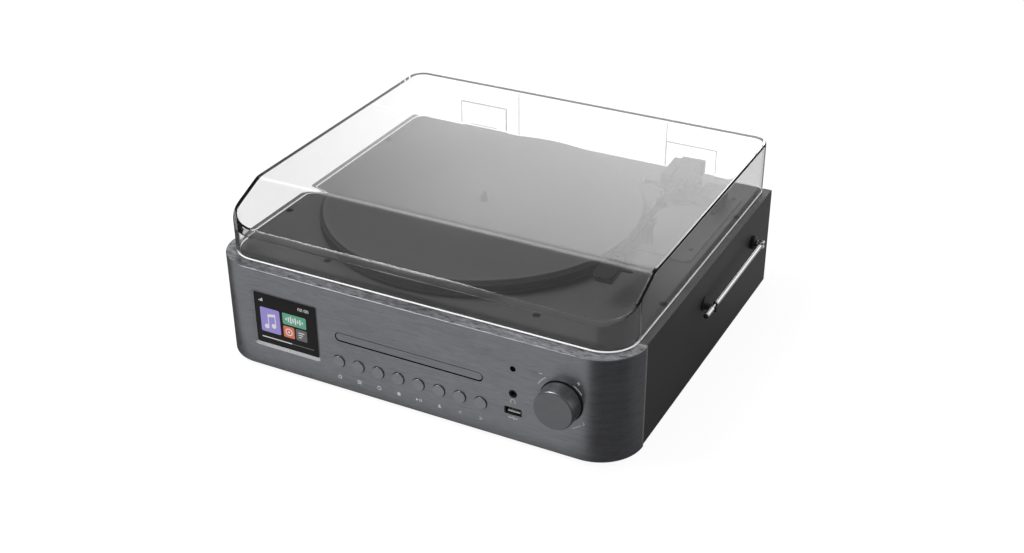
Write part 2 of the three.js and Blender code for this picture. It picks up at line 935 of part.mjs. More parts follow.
// The rotating hub that centres the disc, with its shaft in the motor.
function discHub() {
  const shaft = hubMotorHeight;
  return turned(
    [
      [0, -shaft + fitGap],
      [hubShaftRadius, -shaft + fitGap],
      [hubShaftRadius, fitGap],
      [hubRadius, fitGap],
      [hubRadius, hubHeight],
      [hubConeRadius, hubHeight],
      [hubConeRadius - hubConeHeight / 2, hubHeight + hubConeHeight],
      [0, hubHeight + hubConeHeight],
    ],
    medium,
    0,
    0,
    -loaderDrop + loaderFloor + hubMotorHeight,
  );
}

function laserSled() {
  const bottom = sledRodUp - sledHeight / 2;
  const body = block(sledWidth, sledDepth, sledHeight, 0, 0, bottom);
  const lens = post(lensRadius, lensHeight + sledHeight / 2, coarse, 0, 0, bottom + sledHeight / 2);
  const grooves = [-1, 1].map((side) =>
    block(
      2 * (sledRodRadius + fitGap),
      sledDepth + 2 * overrun,
      sledHeight / 2 + sledRodRadius + 2 * fitGap,
      side * sledRodSpread,
      0,
      bottom - fitGap,
    ),
  );
  return body.add(lens).subtract(joined(grooves));
}

// Front controls, in the front panel's frame

function button() {
  const flangeStart = frontWall + fitGap;
  const flangeEnd = flangeStart + buttonFlangeThickness;
  const stemEnd = boardFront - switchHeight - fitGap - buttonTravel;
  return turnedInward(
    [
      [0, -buttonProud],
      [buttonRadius, -buttonProud],
      [buttonRadius, flangeStart],
      [buttonRadius + buttonFlange, flangeStart],
      [buttonRadius + buttonFlange, flangeEnd],
      [buttonStemRadius, flangeEnd],
      [buttonStemRadius, stemEnd],
      [0, stemEnd],
    ],
    medium,
  );
}

function volumeKnob() {
  const start = -knobStandOff;
  const face = start - knobLength;
  return turnedInward(
    [
      [shaftRadius + fitGap, start],
      [knobRadius, start],
      [knobFaceRadius, face + knobBevel],
      [knobFaceRadius - knobBevel, face],
      [0, face],
      [0, start - shaftEngage - fitGap],
      [shaftRadius + fitGap, start - shaftEngage - fitGap],
      [shaftRadius + fitGap, start],
    ],
    fine,
  );
}

function encoderShaft() {
  const start = -knobStandOff - shaftEngage;
  const end = boardFront - shaftTravel - fitGap;
  return barInward(shaftRadius, end - start, coarse, 0, 0, start);
}

function headphoneJack() {
  const sleeve = barInward(jackRadius, frontWall + fitGap + overrun, coarse);
  const bodyStart = frontWall + fitGap;
  const bodyDepthHere = boardFront - fitGap - bodyStart;
  const body = block(
    jackBodySize,
    bodyDepthHere,
    jackBodySize,
    0,
    bodyStart + bodyDepthHere / 2,
    -jackBodySize / 2,
  );
  const bore = barInward(jackBoreRadius, jackBoreDepth + overrun, coarse, 0, 0, -overrun);
  return sleeve.add(body).subtract(bore);
}

function usbSocket() {
  const length = boardFront - fitGap - usbInset;
  const shell = inward(usbOutline(0), length, usbInset, 1);
  const mouth = roundedRectangle(usbWidth - 2 * usbWall, usbHeight - 2 * usbWall, usbWall);
  return shell.subtract(inward(mouth, usbCavityDepth + overrun, usbInset - overrun, 1));
}

function remoteEye() {
  return barInward(eyeRadius, boardFront - fitGap, tiny);
}

// The upright circuit board behind the controls, with its switches and the turn-and-press encoder.
function controlBoard() {
  const left = buttonX(0) - boardMargin;
  const step = columnX - jackBodySize / 2 - boardMargin;
  const right = knobX + encoderSize / 2 + boardMargin;
  const bottom = baseThickness + fitGap;
  const shape = new THREE.Shape();
  shape.moveTo(left, bottom);
  shape.lineTo(right, bottom);
  shape.lineTo(right, deckUnder - boardTopGap);
  shape.lineTo(step, deckUnder - boardTopGap);
  shape.lineTo(step, boardLowTop);
  shape.lineTo(left, boardLowTop);
  const parts = [inward(shape, boardThickness, boardFront)];
  for (let index = 0; index < buttonCount; index += 1) {
    const depth = switchHeight + boardThickness / 2;
    const y = boardFront - switchHeight + depth / 2;
    parts.push(block(switchSize, depth, switchSize, buttonX(index), y, buttonUp - switchSize / 2));
  }
  const encoderDepth = encoderHeight + boardThickness / 2;
  const encoderY = boardFront - encoderHeight + encoderDepth / 2;
  parts.push(block(encoderSize, encoderDepth, encoderSize, knobX, encoderY, knobUp - encoderSize / 2));
  const socket = barInward(
    shaftRadius + fitGap,
    encoderHeight + overrun,
    coarse,
    knobX,
    knobUp,
    boardFront - encoderHeight - overrun,
  );
  return joined(parts).subtract(socket);
}

// Record player, about the spindle, with z = 0 on the deck

function platter() {
  const under = platterTop - platterPlate;
  const bore = spindleShaftRadius + fitGap;
  return turned(
    [
      [bore, platterTop],
      [bore, platterUnder + bearingFlangeThickness],
      [platterHubRadius, platterUnder + bearingFlangeThickness],
      [platterHubRadius, under],
      [beltRingRadius - beltRingWall, under],
      [beltRingRadius - beltRingWall, platterUnder],
      [beltRingRadius, platterUnder],
      [beltRingRadius, under],
      [platterRadius - platterSkirt, under],
      [platterRadius - platterSkirt, platterUnder],
      [platterRadius, platterUnder],
      [platterRadius, platterTop],
      [bore, platterTop],
    ],
    fine,
  );
}

function platterMat() {
  const bore = spindleRadius + fitGap;
  const radius = platterRadius - matInset;
  const low = platterTop + fitGap;
  return turned(
    [[bore, low], [radius, low], [radius, low + matThickness], [bore, low + matThickness], [bore, low]],
    fine,
  );
}

function spindle() {
  const bottom = bearingFloorZ() + fitGap;
  const shoulder = platterTop + fitGap;
  const top = shoulder + matThickness + spindleRise;
  return turned(
    [
      [0, bottom],
      [spindleShaftRadius, bottom],
      [spindleShaftRadius, shoulder],
      [spindleRadius, shoulder],
      [spindleRadius, top - spindleRadius],
      [spindleTipRadius, top],
      [0, top],
    ],
    coarse,
  );
}

function bearingFloorZ() {
  return -bearingDepth + bearingFloor;
}

// The bush that hangs through the deck, open at the top and closed below.
function platterBearing() {
  const bore = spindleShaftRadius + fitGap;
  const flangeTop = platterUnder + bearingFlangeThickness - fitGap;
  return turned(
    [
      [0, -bearingDepth],
      [bearingRadius, -bearingDepth],
      [bearingRadius, fitGap],
      [bearingRadius + bearingFlange, fitGap],
      [bearingRadius + bearingFlange, flangeTop],
      [bore, flangeTop],
      [bore, bearingFloorZ()],
      [0, bearingFloorZ()],
    ],
    medium,
  );
}

function turntableMotor() {
  const top = -(deckThickness + plateauRise) - fitGap;
  const can = post(motorRadius, motorHeight, medium, 0, 0, top - motorHeight);
  const ears = block(
    2 * (motorRadius + 2 * motorFlangeThickness),
    motorRadius,
    motorFlangeThickness,
    0,
    0,
    top - motorFlangeThickness,
  );
  const socket = post(motorShaftRadius + fitGap, motorShaftSocket + overrun, tiny, 0, 0, top - motorShaftSocket);
  return can.add(ears).subtract(socket);
}

function motorPulley() {
  const shaftEnd = -(deckThickness + plateauRise) - motorShaftSocket;
  const low = beltUp - pulleyFlangeThickness;
  const high = beltUp + beltHeight;
  const rim = pulleyRadius + pulleyFlange;
  return turned(
    [
      [0, shaftEnd],
      [motorShaftRadius, shaftEnd],
      [motorShaftRadius, low - pulleyFlangeThickness],
      [rim, low - pulleyFlangeThickness],
      [rim, low],
      [pulleyRadius, low],
      [pulleyRadius, high + pulleyFlangeThickness],
      [0, high + pulleyFlangeThickness],
    ],
    coarse,
  );
}

// A flat belt round the platter's ring and the pulley, as two tangent arcs and straights.
function driveBelt() {
  const outer = beltLoop(beltThickness + fitGap);
  const inner = beltLoop(fitGap);
  outer.holes.push(new THREE.Path(inner.getPoints(beltLoopSegments)));
  return raised(outer, beltHeight, beltUp, beltLoopSegments);
}
const beltLoopSegments = 12;

function beltLoop(grow) {
  const big = beltRingRadius + grow;
  const small = pulleyRadius + grow;
  const bearing = Math.atan2(motorY, motorX);
  const tangent = Math.acos((big - small) / motorDistance);
  const shape = new THREE.Shape();
  shape.absarc(0, 0, big, bearing + tangent, bearing - tangent + Math.PI * 2);
  shape.absarc(motorX, motorY, small, bearing - tangent, bearing + tangent);
  return shape;
}

// Tonearm, about the pivot, with z = 0 on the deck and the arm pointing to the front

function tonearmBase() {
  const low = fitGap;
  const plateTop = low + armPlateThickness;
  const width = armPlateLeft + armPlateRight;
  const depth = armPlateFront + armPlateBack;
  const outline = roundedRectangle(
    width,
    depth,
    armPlateRadius,
    (armPlateRight - armPlateLeft) / 2,
    (armPlateBack - armPlateFront) / 2,
  );
  const plate = raised(outline, armPlateThickness, low, 2);
  const clearance = post(
    platterRadius + armPlateClearance,
    armPlateThickness + 2 * overrun,
    fine,
    platterX - pivotX,
    platterY - pivotY,
    -overrun,
  );
  const towerTop = yokeDiscLow() - fitGap;
  const rise = low + armPlateThickness / 2;
  const tower = post(towerRadius, towerTop - rise, medium, 0, 0, rise);
  const cueTower = block(
    cueTowerWidth,
    cueTowerDepth,
    cueTowerHeight,
    cueTowerSide + cueTowerWidth / 2,
    0,
    rise,
  );
  const guide = post(liftGuideRadius, liftGuideHeight, coarse, liftRodX(), liftRodY(), rise);
  const bores = [
    post(yokeShaftRadius + fitGap, yokeShaftLength + overrun, coarse, 0, 0, towerTop - yokeShaftLength),
    post(liftRodRadius + fitGap, liftGuideHeight + overrun, tiny, liftRodX(), liftRodY(), plateTop),
    barAcross(
      cuePinRadius + fitGap,
      cuePinLength + overrun,
      tiny,
      cueTowerSide + cueTowerWidth - cuePinLength,
      -cueLeverForward,
      cueLeverUp,
    ),
  ];
  const whole = plate.subtract(clearance).add(tower).add(cueTower).add(guide).add(armRest(rise));
  return whole.subtract(joined(bores));
}

// A post with a seat under the parked arm and a lip on the side away from the platter.
function armRest(rise) {
  const x = restDistance * Math.sin(degrees(armRestAngle));
  const y = -restDistance * Math.cos(degrees(armRestAngle));
  const seat = armHeight - armTubeRadius - fitGap;
  const forkHeight = 2 * armTubeRadius;
  const stem = block(restPostWidth, restDepth, seat - rise - forkHeight / 2, x, y, rise);
  const head = block(restWidth, restDepth, forkHeight, x, y, seat - forkHeight / 2);
  const notchEnd = armTubeRadius + slideGap;
  const notchWidth = notchEnd + restWidth;
  const notchX = x + notchEnd - notchWidth / 2;
  const notch = block(notchWidth, restDepth + 2 * overrun, forkHeight, notchX, y, seat);
  return stem.add(head).subtract(notch);
}

function yokeDiscLow() {
  return armHeight - armBlockHeight / 2 - armBlockGap - yokeDiscThickness;
}

function liftRodX() {
  return -liftRadius * Math.sin(degrees(liftRodAngle));
}

function liftRodY() {
  return -liftRadius * Math.cos(degrees(liftRodAngle));
}

// The part that swings: a disc on a short shaft, with two ears that hold the arm's pins.
function tonearmYoke() {
  const low = yokeDiscLow();
  const disc = post(yokeRadius, yokeDiscThickness, medium, 0, 0, low);
  const shaft = post(yokeShaftRadius, yokeShaftLength, coarse, 0, 0, low - yokeShaftLength + fitGap);
  const parts = [disc, shaft];
  const earX = armBlockWidth / 2 + slideGap + yokeEarThickness / 2;
  const earHeight = armHeight + yokeEarCrown - low;
  for (const side of [-1, 1]) {
    parts.push(block(yokeEarThickness, yokeEarDepth, earHeight, side * earX, 0, low));
  }
  const span = 2 * earX + yokeEarThickness + 2 * overrun;
  const pins = barAcross(armPinRadius + fitGap, span, tiny, -span / 2, 0, armHeight);
  const gap = block(armBlockWidth + 2 * slideGap, yokeEarDepth + 2 * overrun, earHeight, 0, 0, low + yokeDiscThickness);
  return joined(parts).subtract(pins.add(gap));
}

// The arm itself: pivot block with two pins, tube, headshell with finger lift, and rear stub.
function tonearmBody() {
  const tubeEnd = armReach - headshellNose - headshellLength / 2;
  const blockLow = armHeight - armBlockHeight / 2;
  const pinSpan = armBlockWidth + 2 * (slideGap + yokeEarThickness) - fitGap;
  const shellLow = headshellLow();
  const shellY = -(armReach + headshellNose - headshellLength / 2);
  const shell = block(headshellWidth, headshellLength, headshellThickness, 0, shellY, shellLow);
  const collarLow = shellLow + headshellThickness / 2;
  const collarY = -tubeEnd;
  const collar = block(
    3 * armTubeRadius,
    headshellLength / 2,
    armHeight + armTubeRadius - collarLow,
    0,
    collarY,
    collarLow,
  );
  const finger = block(
    fingerLength,
    fingerWidth,
    headshellThickness / 2,
    headshellWidth / 2 + fingerLength / 2 - fitGap,
    shellY,
    shellLow + headshellThickness / 2,
  );
  return joined([
    block(armBlockWidth, armBlockDepth, armBlockHeight, 0, 0, blockLow),
    barAcross(armPinRadius, pinSpan, tiny, -pinSpan / 2, 0, armHeight),
    barInward(armTubeRadius, tubeEnd, coarse, 0, armHeight, -tubeEnd),
    barInward(stubRadius, stubLength, coarse, 0, armHeight, 0),
    shell,
    collar,
    finger,
  ]);
}

function headshellLow() {
  return platterTop + fitGap + matThickness + fitGap + stylusLength + cartridgeHeight + fitGap;
}

function counterweight() {
  const bore = stubRadius + fitGap;
  const end = weightFromPivot + weightLength;
  const bevel = 2 * slideGap;
  return turnedInward(
    [
      [bore, weightFromPivot],
      [weightRadius - bevel, weightFromPivot],
      [weightRadius, weightFromPivot + bevel],
      [weightRadius, end - bevel],
      [weightRadius - bevel, end],
      [bore, end],
      [bore, weightFromPivot],
    ],
    medium,
    0,
    armHeight,
  );
}

function cartridge() {
  const top = headshellLow() - fitGap;
  const y = -(armReach + headshellNose - headshellLength / 2);
  const body = block(cartridgeWidth, cartridgeLength, cartridgeHeight, 0, y, top - cartridgeHeight);
  const stylus = turned(
    [[0, 0], [stylusRadius, stylusLength], [stylusRadius, 2 * stylusLength], [0, 2 * stylusLength]],
    tiny,
    0,
    -armReach,
    top - cartridgeHeight - stylusLength,
  );
  return body.add(stylus);
}

// The curved bar that raises the arm, on its rod, following the arm's swing.
function liftPlatform() {
  const top = armHeight - armTubeRadius - fitGap;
  const inner = liftRadius - liftBarWidth / 2;
  const outer = liftRadius + liftBarWidth / 2;
  const start = -Math.PI / 2 - degrees(liftEndAngle);
  const end = -Math.PI / 2 - degrees(liftStartAngle);
  const shape = new THREE.Shape();
  shape.absarc(0, 0, outer, start, end);
  shape.absarc(0, 0, inner, end, start, true);
  const bar = raised(shape, liftBarThickness, top - liftBarThickness, 4);
  const rodLow = top - liftRodLength;
  const rodHeight = liftRodLength - liftBarThickness / 2;
  return bar.add(post(liftRodRadius, rodHeight, tiny, liftRodX(), liftRodY(), rodLow));
}

// The small lever on the cue tower, about its own axle.
function cueLever() {
  const hubStart = fitGap;
  const hub = barAcross(cueHubRadius, cueHubWidth, coarse, hubStart);
  const pin = barAcross(cuePinRadius, cuePinLength, tiny, hubStart - cuePinLength + fitGap);
  const arm = block(
    cueHubWidth,
    cueLeverLength,
    cueLeverThickness,
    hubStart + cueHubWidth / 2,
    -cueLeverLength / 2,
    -cueLeverThickness / 2,
  );
  return hub.add(pin).add(arm);
}

// The small round speed knob, about its own axis.
function speedSelector() {
  const knob = post(selectorRadius, selectorHeight, coarse, 0, 0, fitGap);
  const shaftLength = deckThickness + plateauRise + selectorHeight;
  const shaft = post(selectorShaftRadius, shaftLength + overrun, tiny, 0, 0, -shaftLength);
  const ridge = block(
    selectorRidge,
    2 * selectorRadius - selectorRidge,
    selectorRidge,
    0,
    0,
    fitGap + selectorHeight - fitGap,
  );
  return knob.add(shaft).add(ridge);
}

// Circuit boards in the cabinet's frame

function circuitBoard(width, depth, x, y) {
  return block(width, depth, boardThickness, x, y, baseThickness + boardStandOff);
}

function mainBoard() {
  const [x, y] = [mainBoardX(), mainBoardY()];
  const low = baseThickness + boardStandOff + boardThickness / 2;
  const left = x - mainBoardWidth / 4;
  const sinkY = y + mainBoardDepth / 4;
  return joined([
    circuitBoard(mainBoardWidth, mainBoardDepth, x, y),
    block(heatSinkWidth, heatSinkDepth, heatSinkHeight, left, sinkY, low),
    post(capacitorRadius, capacitorHeight, coarse, x + mainBoardWidth / 4, sinkY, low),
    block(transformerDepth, transformerDepth, heatSinkDepth / 4, x, y - mainBoardDepth / 4, low),
  ]);
}

function powerSupply() {
  const [x, y] = [supplyX(), supplyY()];
  const low = baseThickness + boardStandOff + boardThickness / 2;
  return joined([
    circuitBoard(supplyWidth, supplyDepth, x, y),
    block(transformerWidth, transformerDepth, transformerHeight, x - supplyWidth / 4, y, low),
    post(capacitorRadius, capacitorHeight, coarse, x + supplyWidth / 4, y, low),
  ]);
}

// Rear sockets, in a frame whose y runs out of the cabinet's back

function mainsInlet() {
  const body = block(inletWidth, inletDepth, inletHeight, 0, -inletDepth / 2 + fitGap, -inletHeight / 2);
  const flange = block(
    inletWidth + 2 * inletFlange,
    inletFlangeThickness,
    inletHeight + 2 * inletFlange,
    0,
    fitGap + inletFlangeThickness / 2,
    -inletHeight / 2 - inletFlange,
  );
  const mouth = fitGap + inletFlangeThickness;
  const cavity = block(
    inletCavityWidth,
    inletCavityDepth + overrun,
    inletCavityHeight,
    0,
    mouth + (overrun - inletCavityDepth) / 2,
    -inletCavityHeight / 2,
  );
  return body.add(flange).subtract(cavity);
}

function socketBodyWidth() {
  return (socketColumns - 1) * socketPitch + 2 * socketRadius;
}

function socketBodyHeight() {
  return (socketRows - 1) * socketPitch + 2 * socketRadius;
}

function rearSockets() {
  const plateY = fitGap + socketsPlate / 2;
  const plate = block(socketsWidth, socketsPlate, socketsHeight, 0, plateY, -socketsHeight / 2);
  const bodyY = plateY - socketBodyDepth / 2;
  const body = block(socketBodyWidth(), socketBodyDepth, socketBodyHeight(), 0, bodyY, -socketBodyHeight() / 2);
  const sleeves = [];
  const bores = [];
  for (let row = 0; row < socketRows; row += 1) {
    for (let column = 0; column < socketColumns; column += 1) {
      const x = (column - (socketColumns - 1) / 2) * socketPitch;
      const z = (row - (socketRows - 1) / 2) * socketPitch;
      sleeves.push(barInward(socketRadius, socketLength + socketsPlate, tiny, x, z, fitGap));
      bores.push(barInward(socketBoreRadius, socketLength + overrun, tiny, x, z, fitGap + socketsPlate));
    }
  }
  return joined([plate, body, ...sleeves]).subtract(joined(bores));
}

// Aerial, about the swivel: x runs out of the cabinet's side, the rod lies towards the front

function aerialBase() {
  const base = barAcross(aerialBaseRadius, aerialBaseLength, medium, fitGap);
  const bore = barAcross(aerialStemRadius + fitGap, aerialBaseLength + overrun, coarse, fitGap + 1.5 * fitGap);
  return base.subtract(bore);
}

function aerialKnuckle() {
  const stemStart = 3 * fitGap;
  const stem = barAcross(aerialStemRadius, aerialStandOff - stemStart, coarse, stemStart);
  const collarStart = aerialBaseLength + 2 * fitGap;
  const collarEnd = aerialStandOff - aerialCheekRadius;
  const collar = barAcross(aerialBallRadius, collarEnd - collarStart + fitGap, coarse, collarStart);
  const forkHeight = aerialTongue + 2 * (fitGap + aerialCheek);
  const fork = post(aerialCheekRadius, forkHeight, coarse, aerialStandOff, 0, -forkHeight / 2);
  const root = block(
    aerialCheekRadius,
    2 * aerialStemRadius,
    forkHeight,
    aerialStandOff - aerialCheekRadius / 2 - fitGap,
    0,
    -forkHeight / 2,
  );
  const slotSize = 2 * (aerialCheekRadius + fitGap);
  const slot = block(slotSize, slotSize + overrun, aerialTongue + 2 * fitGap, aerialStandOff, 0, -aerialTongue / 2 - fitGap);
  const pin = post(aerialPinRadius, forkHeight, tiny, aerialStandOff, 0, -forkHeight / 2);
  return joined([stem, collar, fork, root]).subtract(slot).add(pin);
}

// The outer tube with its flat tongue round the knuckle's pin, along -y from the pin.
function aerialSleeve() {
  const tongueRound = post(aerialCheekRadius - fitGap, aerialTongue, coarse, 0, 0, -aerialTongue / 2);
  const tongueBar = block(
    2 * (aerialCheekRadius - 2 * fitGap),
    aerialTongueLength + fitGap,
    aerialTongue,
    0,
    -(aerialTongueLength + fitGap) / 2,
    -aerialTongue / 2,
  );
  const tube = barInward(sleeveRadius, sleeveLength, coarse, 0, 0, -aerialTongueLength - sleeveLength);
  const bore = barInward(
    sleeveBore,
    sleeveLength + overrun - fitGap,
    coarse,
    0,
    0,
    -aerialTongueLength - sleeveLength - overrun,
  );
  const pinHole = post(aerialPinRadius + fitGap, aerialTongue + 2 * overrun, tiny, 0, 0, -aerialTongue / 2 - overrun);
  return tube.subtract(bore).add(tongueRound).add(tongueBar).subtract(pinHole);
}

function sleeveMouth() {
  return -aerialTongueLength - sleeveLength;
}

function aerialMiddle() {
  const tube = barInward(middleRadius, middleLength, coarse, 0, 0, sleeveMouth());
  const bore = barInward(middleBore, middleLength - fitGap + overrun, tiny, 0, 0, sleeveMouth() - overrun);
  return tube.subtract(bore);
}

function aerialTip() {
  const tipBack = sleeveMouth() - neckLength;
  const rod = barInward(rodRadius, rodLength, tiny, 0, 0, tipBack - fitGap);
  const cap = turnedInward(
    [
      [0, -tipLength],
      [tipRadius / 2, -tipLength],
      [tipRadius, -tipLength + tipRadius / 2],
      [tipRadius, 0],
      [0, 0],
    ],
    coarse,
    0,
    0,
    tipBack,
  );
  return rod.add(cap);
}

// The rest for the folded rod: a pad on the side, an arm and a shelf under the neck.
function aerialClip() {
  const y = sleeveMouth() - neckLength / 2;
  const pad = barAcross(clipPadRadius, clipPadThickness, medium, fitGap, y);
  const shelfTop = -middleRadius - fitGap;
  const reach = aerialStandOff + clipReach - fitGap;
  const shelf = block(reach, clipWidth, clipShelf, fitGap + reach / 2, y, shelfTop - clipShelf);
  const stopWidth = aerialStandOff - middleRadius - 2 * fitGap;
  const stop = block(stopWidth, clipWidth, 2 * clipShelf, fitGap + stopWidth / 2, y, shelfTop - clipShelf);
  return joined([pad, shelf, stop]);
}

// Finishes

function finish(color, roughness, metalness) {
  return { color, roughness, metalness };
}

const brushedGrey = finish(0x6b6c70, 0.42, 0.7);
const mattBlack = finish(0x242425, 0.75, 0);
const deckBlack = finish(0x2b2b2c, 0.6, 0);
const rubberBlack = finish(0x161616, 0.9, 0);
const clearPlastic = finish(0xe8eef0, 0.05, 0);
const chromed = finish(0xd9dadc, 0.12, 1);
const bareSteel = finish(0x9a9b9d, 0.35, 1);
const blackPlastic = finish(0x18181a, 0.45, 0);
const boardGreen = finish(0x1f4a2c, 0.6, 0);
const brass = finish(0xb08d4a, 0.35, 1);
const darkGlass = finish(0x08090b, 0.08, 0);

const system = new THREE.Group();

function groupAt(parent, x, y, z) {
  const group = new THREE.Group();
  group.position.set(x, y, z);
  parent.add(group);
  return group;
}

// Adds one named mesh to a group.
function addPiece(group, name, solid, look, x = 0, y = 0, z = 0) {
  const { vertProperties, triVerts } = solid.getMesh();
  const geometry = new THREE.BufferGeometry();
  geometry.setAttribute("position", new THREE.BufferAttribute(vertProperties, 3));
  geometry.setIndex(new THREE.BufferAttribute(triVerts, 1));
  geometry.computeVertexNormals();
  const material = new THREE.MeshStandardMaterial({ ...look, flatShading: true });
  const mesh = new THREE.Mesh(geometry, material);
  mesh.name = name;
  mesh.position.set(x, y, z);
  group.add(mesh);
}

function addCabinet(parent) {
  const cabinet = groupAt(parent, 0, 0, footHeight);
  addPiece(cabinet, "front_panel", frontPanel(), brushedGrey);
  addPiece(cabinet, "side_panel_left", sidePanel(-1), mattBlack);
  addPiece(cabinet, "side_panel_right", sidePanel(1), mattBlack);
  addPiece(cabinet, "base_panel", basePanel(), mattBlack);
  addPiece(cabinet, "back_panel", backPanel(), mattBlack);
  addPiece(cabinet, "deck_plate", deckPlate(), deckBlack);
  addPiece(cabinet, "main_board", mainBoard(), boardGreen);
  addPiece(cabinet, "power_supply", powerSupply(), boardGreen);
  addPiece(cabinet, "dust_cover", dustCover(), clearPlastic);
  for (const [word, side] of [["left", -1], ["right", 1]]) {
    const x = side * (bodyWidth / 2 - hingeFromSide);
    addPiece(cabinet, `hinge_leaf_${word}`, hingeLeaf(), clearPlastic, x);
    addPiece(cabinet, `hinge_bracket_${word}`, hingeBracket(), blackPlastic, x);
    const footX = side * (bodyWidth / 2 - footFromSide);
    for (const [end, y] of [["front", frontFace + footFromEnd], ["rear", backFace - footFromEnd]]) {
      addPiece(cabinet, `foot_${end}_${word}`, foot(), rubberBlack, footX, y, -footHeight);
    }
  }
}

function addFront(parent) {
  const front = groupAt(parent, 0, frontFace, footHeight);
  addPiece(front, "display_window", displayWindow(), darkGlass, screenX, 0, screenUp);
  addPiece(front, "display_module", displayModule(), blackPlastic, screenX, 0, screenUp);
  addPiece(front, "control_board", controlBoard(), boardGreen);
  const buttons = ["standby", "mode", "repeat", "stop", "play", "eject", "previous", "next"];
  buttons.forEach((word, index) => {
    addPiece(front, `${word}_button`, button(), brushedGrey, buttonX(index), 0, buttonUp);
  });
  addPiece(front, "volume_knob", volumeKnob(), brushedGrey, knobX, 0, knobUp);
  addPiece(front, "encoder_shaft", encoderShaft(), bareSteel, knobX, 0, knobUp);
  addPiece(front, "headphone_jack", headphoneJack(), blackPlastic, columnX, 0, jackUp);
  addPiece(front, "usb_socket", usbSocket(), bareSteel, columnX, 0, usbUp);
  addPiece(front, "remote_eye", remoteEye(), darkGlass, columnX, 0, eyeUp);
}

function addLoader(parent) {
  const loader = groupAt(parent, drawerX, frontFace, footHeight + drawerUp);
  addPiece(loader, "disc_drawer", discDrawer(), brushedGrey);
  addPiece(loader, "disc_loader_frame", loaderFrame(), blackPlastic);
  addPiece(loader, "disc_hub", discHub(), blackPlastic, 0, discCentre);
  const sledZ = -loaderDrop + loaderFloor;
  addPiece(loader, "laser_sled", laserSled(), blackPlastic, 0, discCentre + sledStart, sledZ);
}

function addTurntable(parent) {
  const turntable = groupAt(parent, platterX, platterY, footHeight + deckTop);
  addPiece(turntable, "platter", platter(), deckBlack);
  addPiece(turntable, "platter_mat", platterMat(), rubberBlack);
  addPiece(turntable, "spindle", spindle(), chromed);
  addPiece(turntable, "platter_bearing", platterBearing(), brass);
  addPiece(turntable, "turntable_motor", turntableMotor(), bareSteel, motorX, motorY);
  addPiece(turntable, "motor_pulley", motorPulley(), brass, motorX, motorY);
  addPiece(turntable, "drive_belt", driveBelt(), rubberBlack);
}

function addTonearm(parent) {
  const deck = groupAt(parent, pivotX, pivotY, footHeight + deckTop);
  addPiece(deck, "tonearm_base", tonearmBase(), blackPlastic);
  addPiece(deck, "lift_platform", liftPlatform(), blackPlastic);
  const leverX = cueTowerSide + cueTowerWidth;
  addPiece(deck, "cue_lever", cueLever(), blackPlastic, leverX, -cueLeverForward, cueLeverUp);
  const parked = groupAt(deck, 0, 0, 0);
  parked.rotation.z = degrees(armRestAngle);
  addPiece(parked, "tonearm_yoke", tonearmYoke(), blackPlastic);
  addPiece(parked, "tonearm", tonearmBody(), blackPlastic);
  addPiece(parked, "counterweight", counterweight(), blackPlastic);
  addPiece(parked, "cartridge", cartridge(), blackPlastic);
  const selector = groupAt(parent, selectorX, selectorY, footHeight + deckTop);
  addPiece(selector, "speed_selector", speedSelector(), blackPlastic);
}

function addRear(parent) {
  const rear = groupAt(parent, 0, backFace, footHeight);
  addPiece(rear, "mains_inlet", mainsInlet(), blackPlastic, inletX(), 0, inletUp);
  addPiece(rear, "rear_sockets", rearSockets(), blackPlastic, socketsX(), 0, socketsUp);
}

function addAerial(parent) {
  const aerial = groupAt(parent, sideFace, backFace - aerialFromBack, footHeight + aerialUp);
  addPiece(aerial, "aerial_base", aerialBase(), blackPlastic);
  addPiece(aerial, "aerial_knuckle", aerialKnuckle(), chromed);
  addPiece(aerial, "aerial_clip", aerialClip(), blackPlastic);
  const rod = groupAt(aerial, aerialStandOff, 0, 0);
  addPiece(rod, "aerial_sleeve", aerialSleeve(), chromed);
  addPiece(rod, "aerial_middle", aerialMiddle(), chromed);
  addPiece(rod, "aerial_tip", aerialTip(), chromed);
}

const model = groupAt(system, 0, 0, 0);
addCabinet(model);
addFront(model);
addLoader(model);
addTurntable(model);
addTonearm(model);
addRear(model);
addAerial(model);

// The origin is the middle of the whole object's footprint, on the surface that it stands on.
const reach = new THREE.Box3().setFromObject(model);
const centre = reach.getCenter(new THREE.Vector3());
model.position.set(-centre.x, -centre.y, 0);

export default system;
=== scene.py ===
"""Dresses the stereo music system: shapes in millimetres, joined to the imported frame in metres."""

import logging
import math
from dataclasses import dataclass, field
from enum import Enum
from typing import Any, Callable, ClassVar, Iterable, Sequence

import bmesh
import bpy
from mathutils import Matrix, Vector
from mathutils.geometry import delaunay_2d_cdt

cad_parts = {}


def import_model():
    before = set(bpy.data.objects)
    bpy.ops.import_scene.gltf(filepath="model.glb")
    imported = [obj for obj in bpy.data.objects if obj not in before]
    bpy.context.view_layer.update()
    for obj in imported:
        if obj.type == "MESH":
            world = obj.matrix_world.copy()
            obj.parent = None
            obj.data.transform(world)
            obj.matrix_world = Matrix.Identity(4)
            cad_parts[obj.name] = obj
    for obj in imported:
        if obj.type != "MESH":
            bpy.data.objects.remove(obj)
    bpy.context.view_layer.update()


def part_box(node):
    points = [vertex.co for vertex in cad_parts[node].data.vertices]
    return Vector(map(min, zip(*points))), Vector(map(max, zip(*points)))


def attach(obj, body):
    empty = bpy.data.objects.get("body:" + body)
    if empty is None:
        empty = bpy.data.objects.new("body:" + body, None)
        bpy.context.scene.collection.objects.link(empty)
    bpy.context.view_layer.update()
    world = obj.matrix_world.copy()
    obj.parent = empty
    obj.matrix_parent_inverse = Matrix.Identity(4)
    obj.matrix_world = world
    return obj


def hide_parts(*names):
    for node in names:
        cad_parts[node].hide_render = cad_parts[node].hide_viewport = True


LOG = logging.getLogger("music_system")
MM = 0.001
TINY = 1e-6
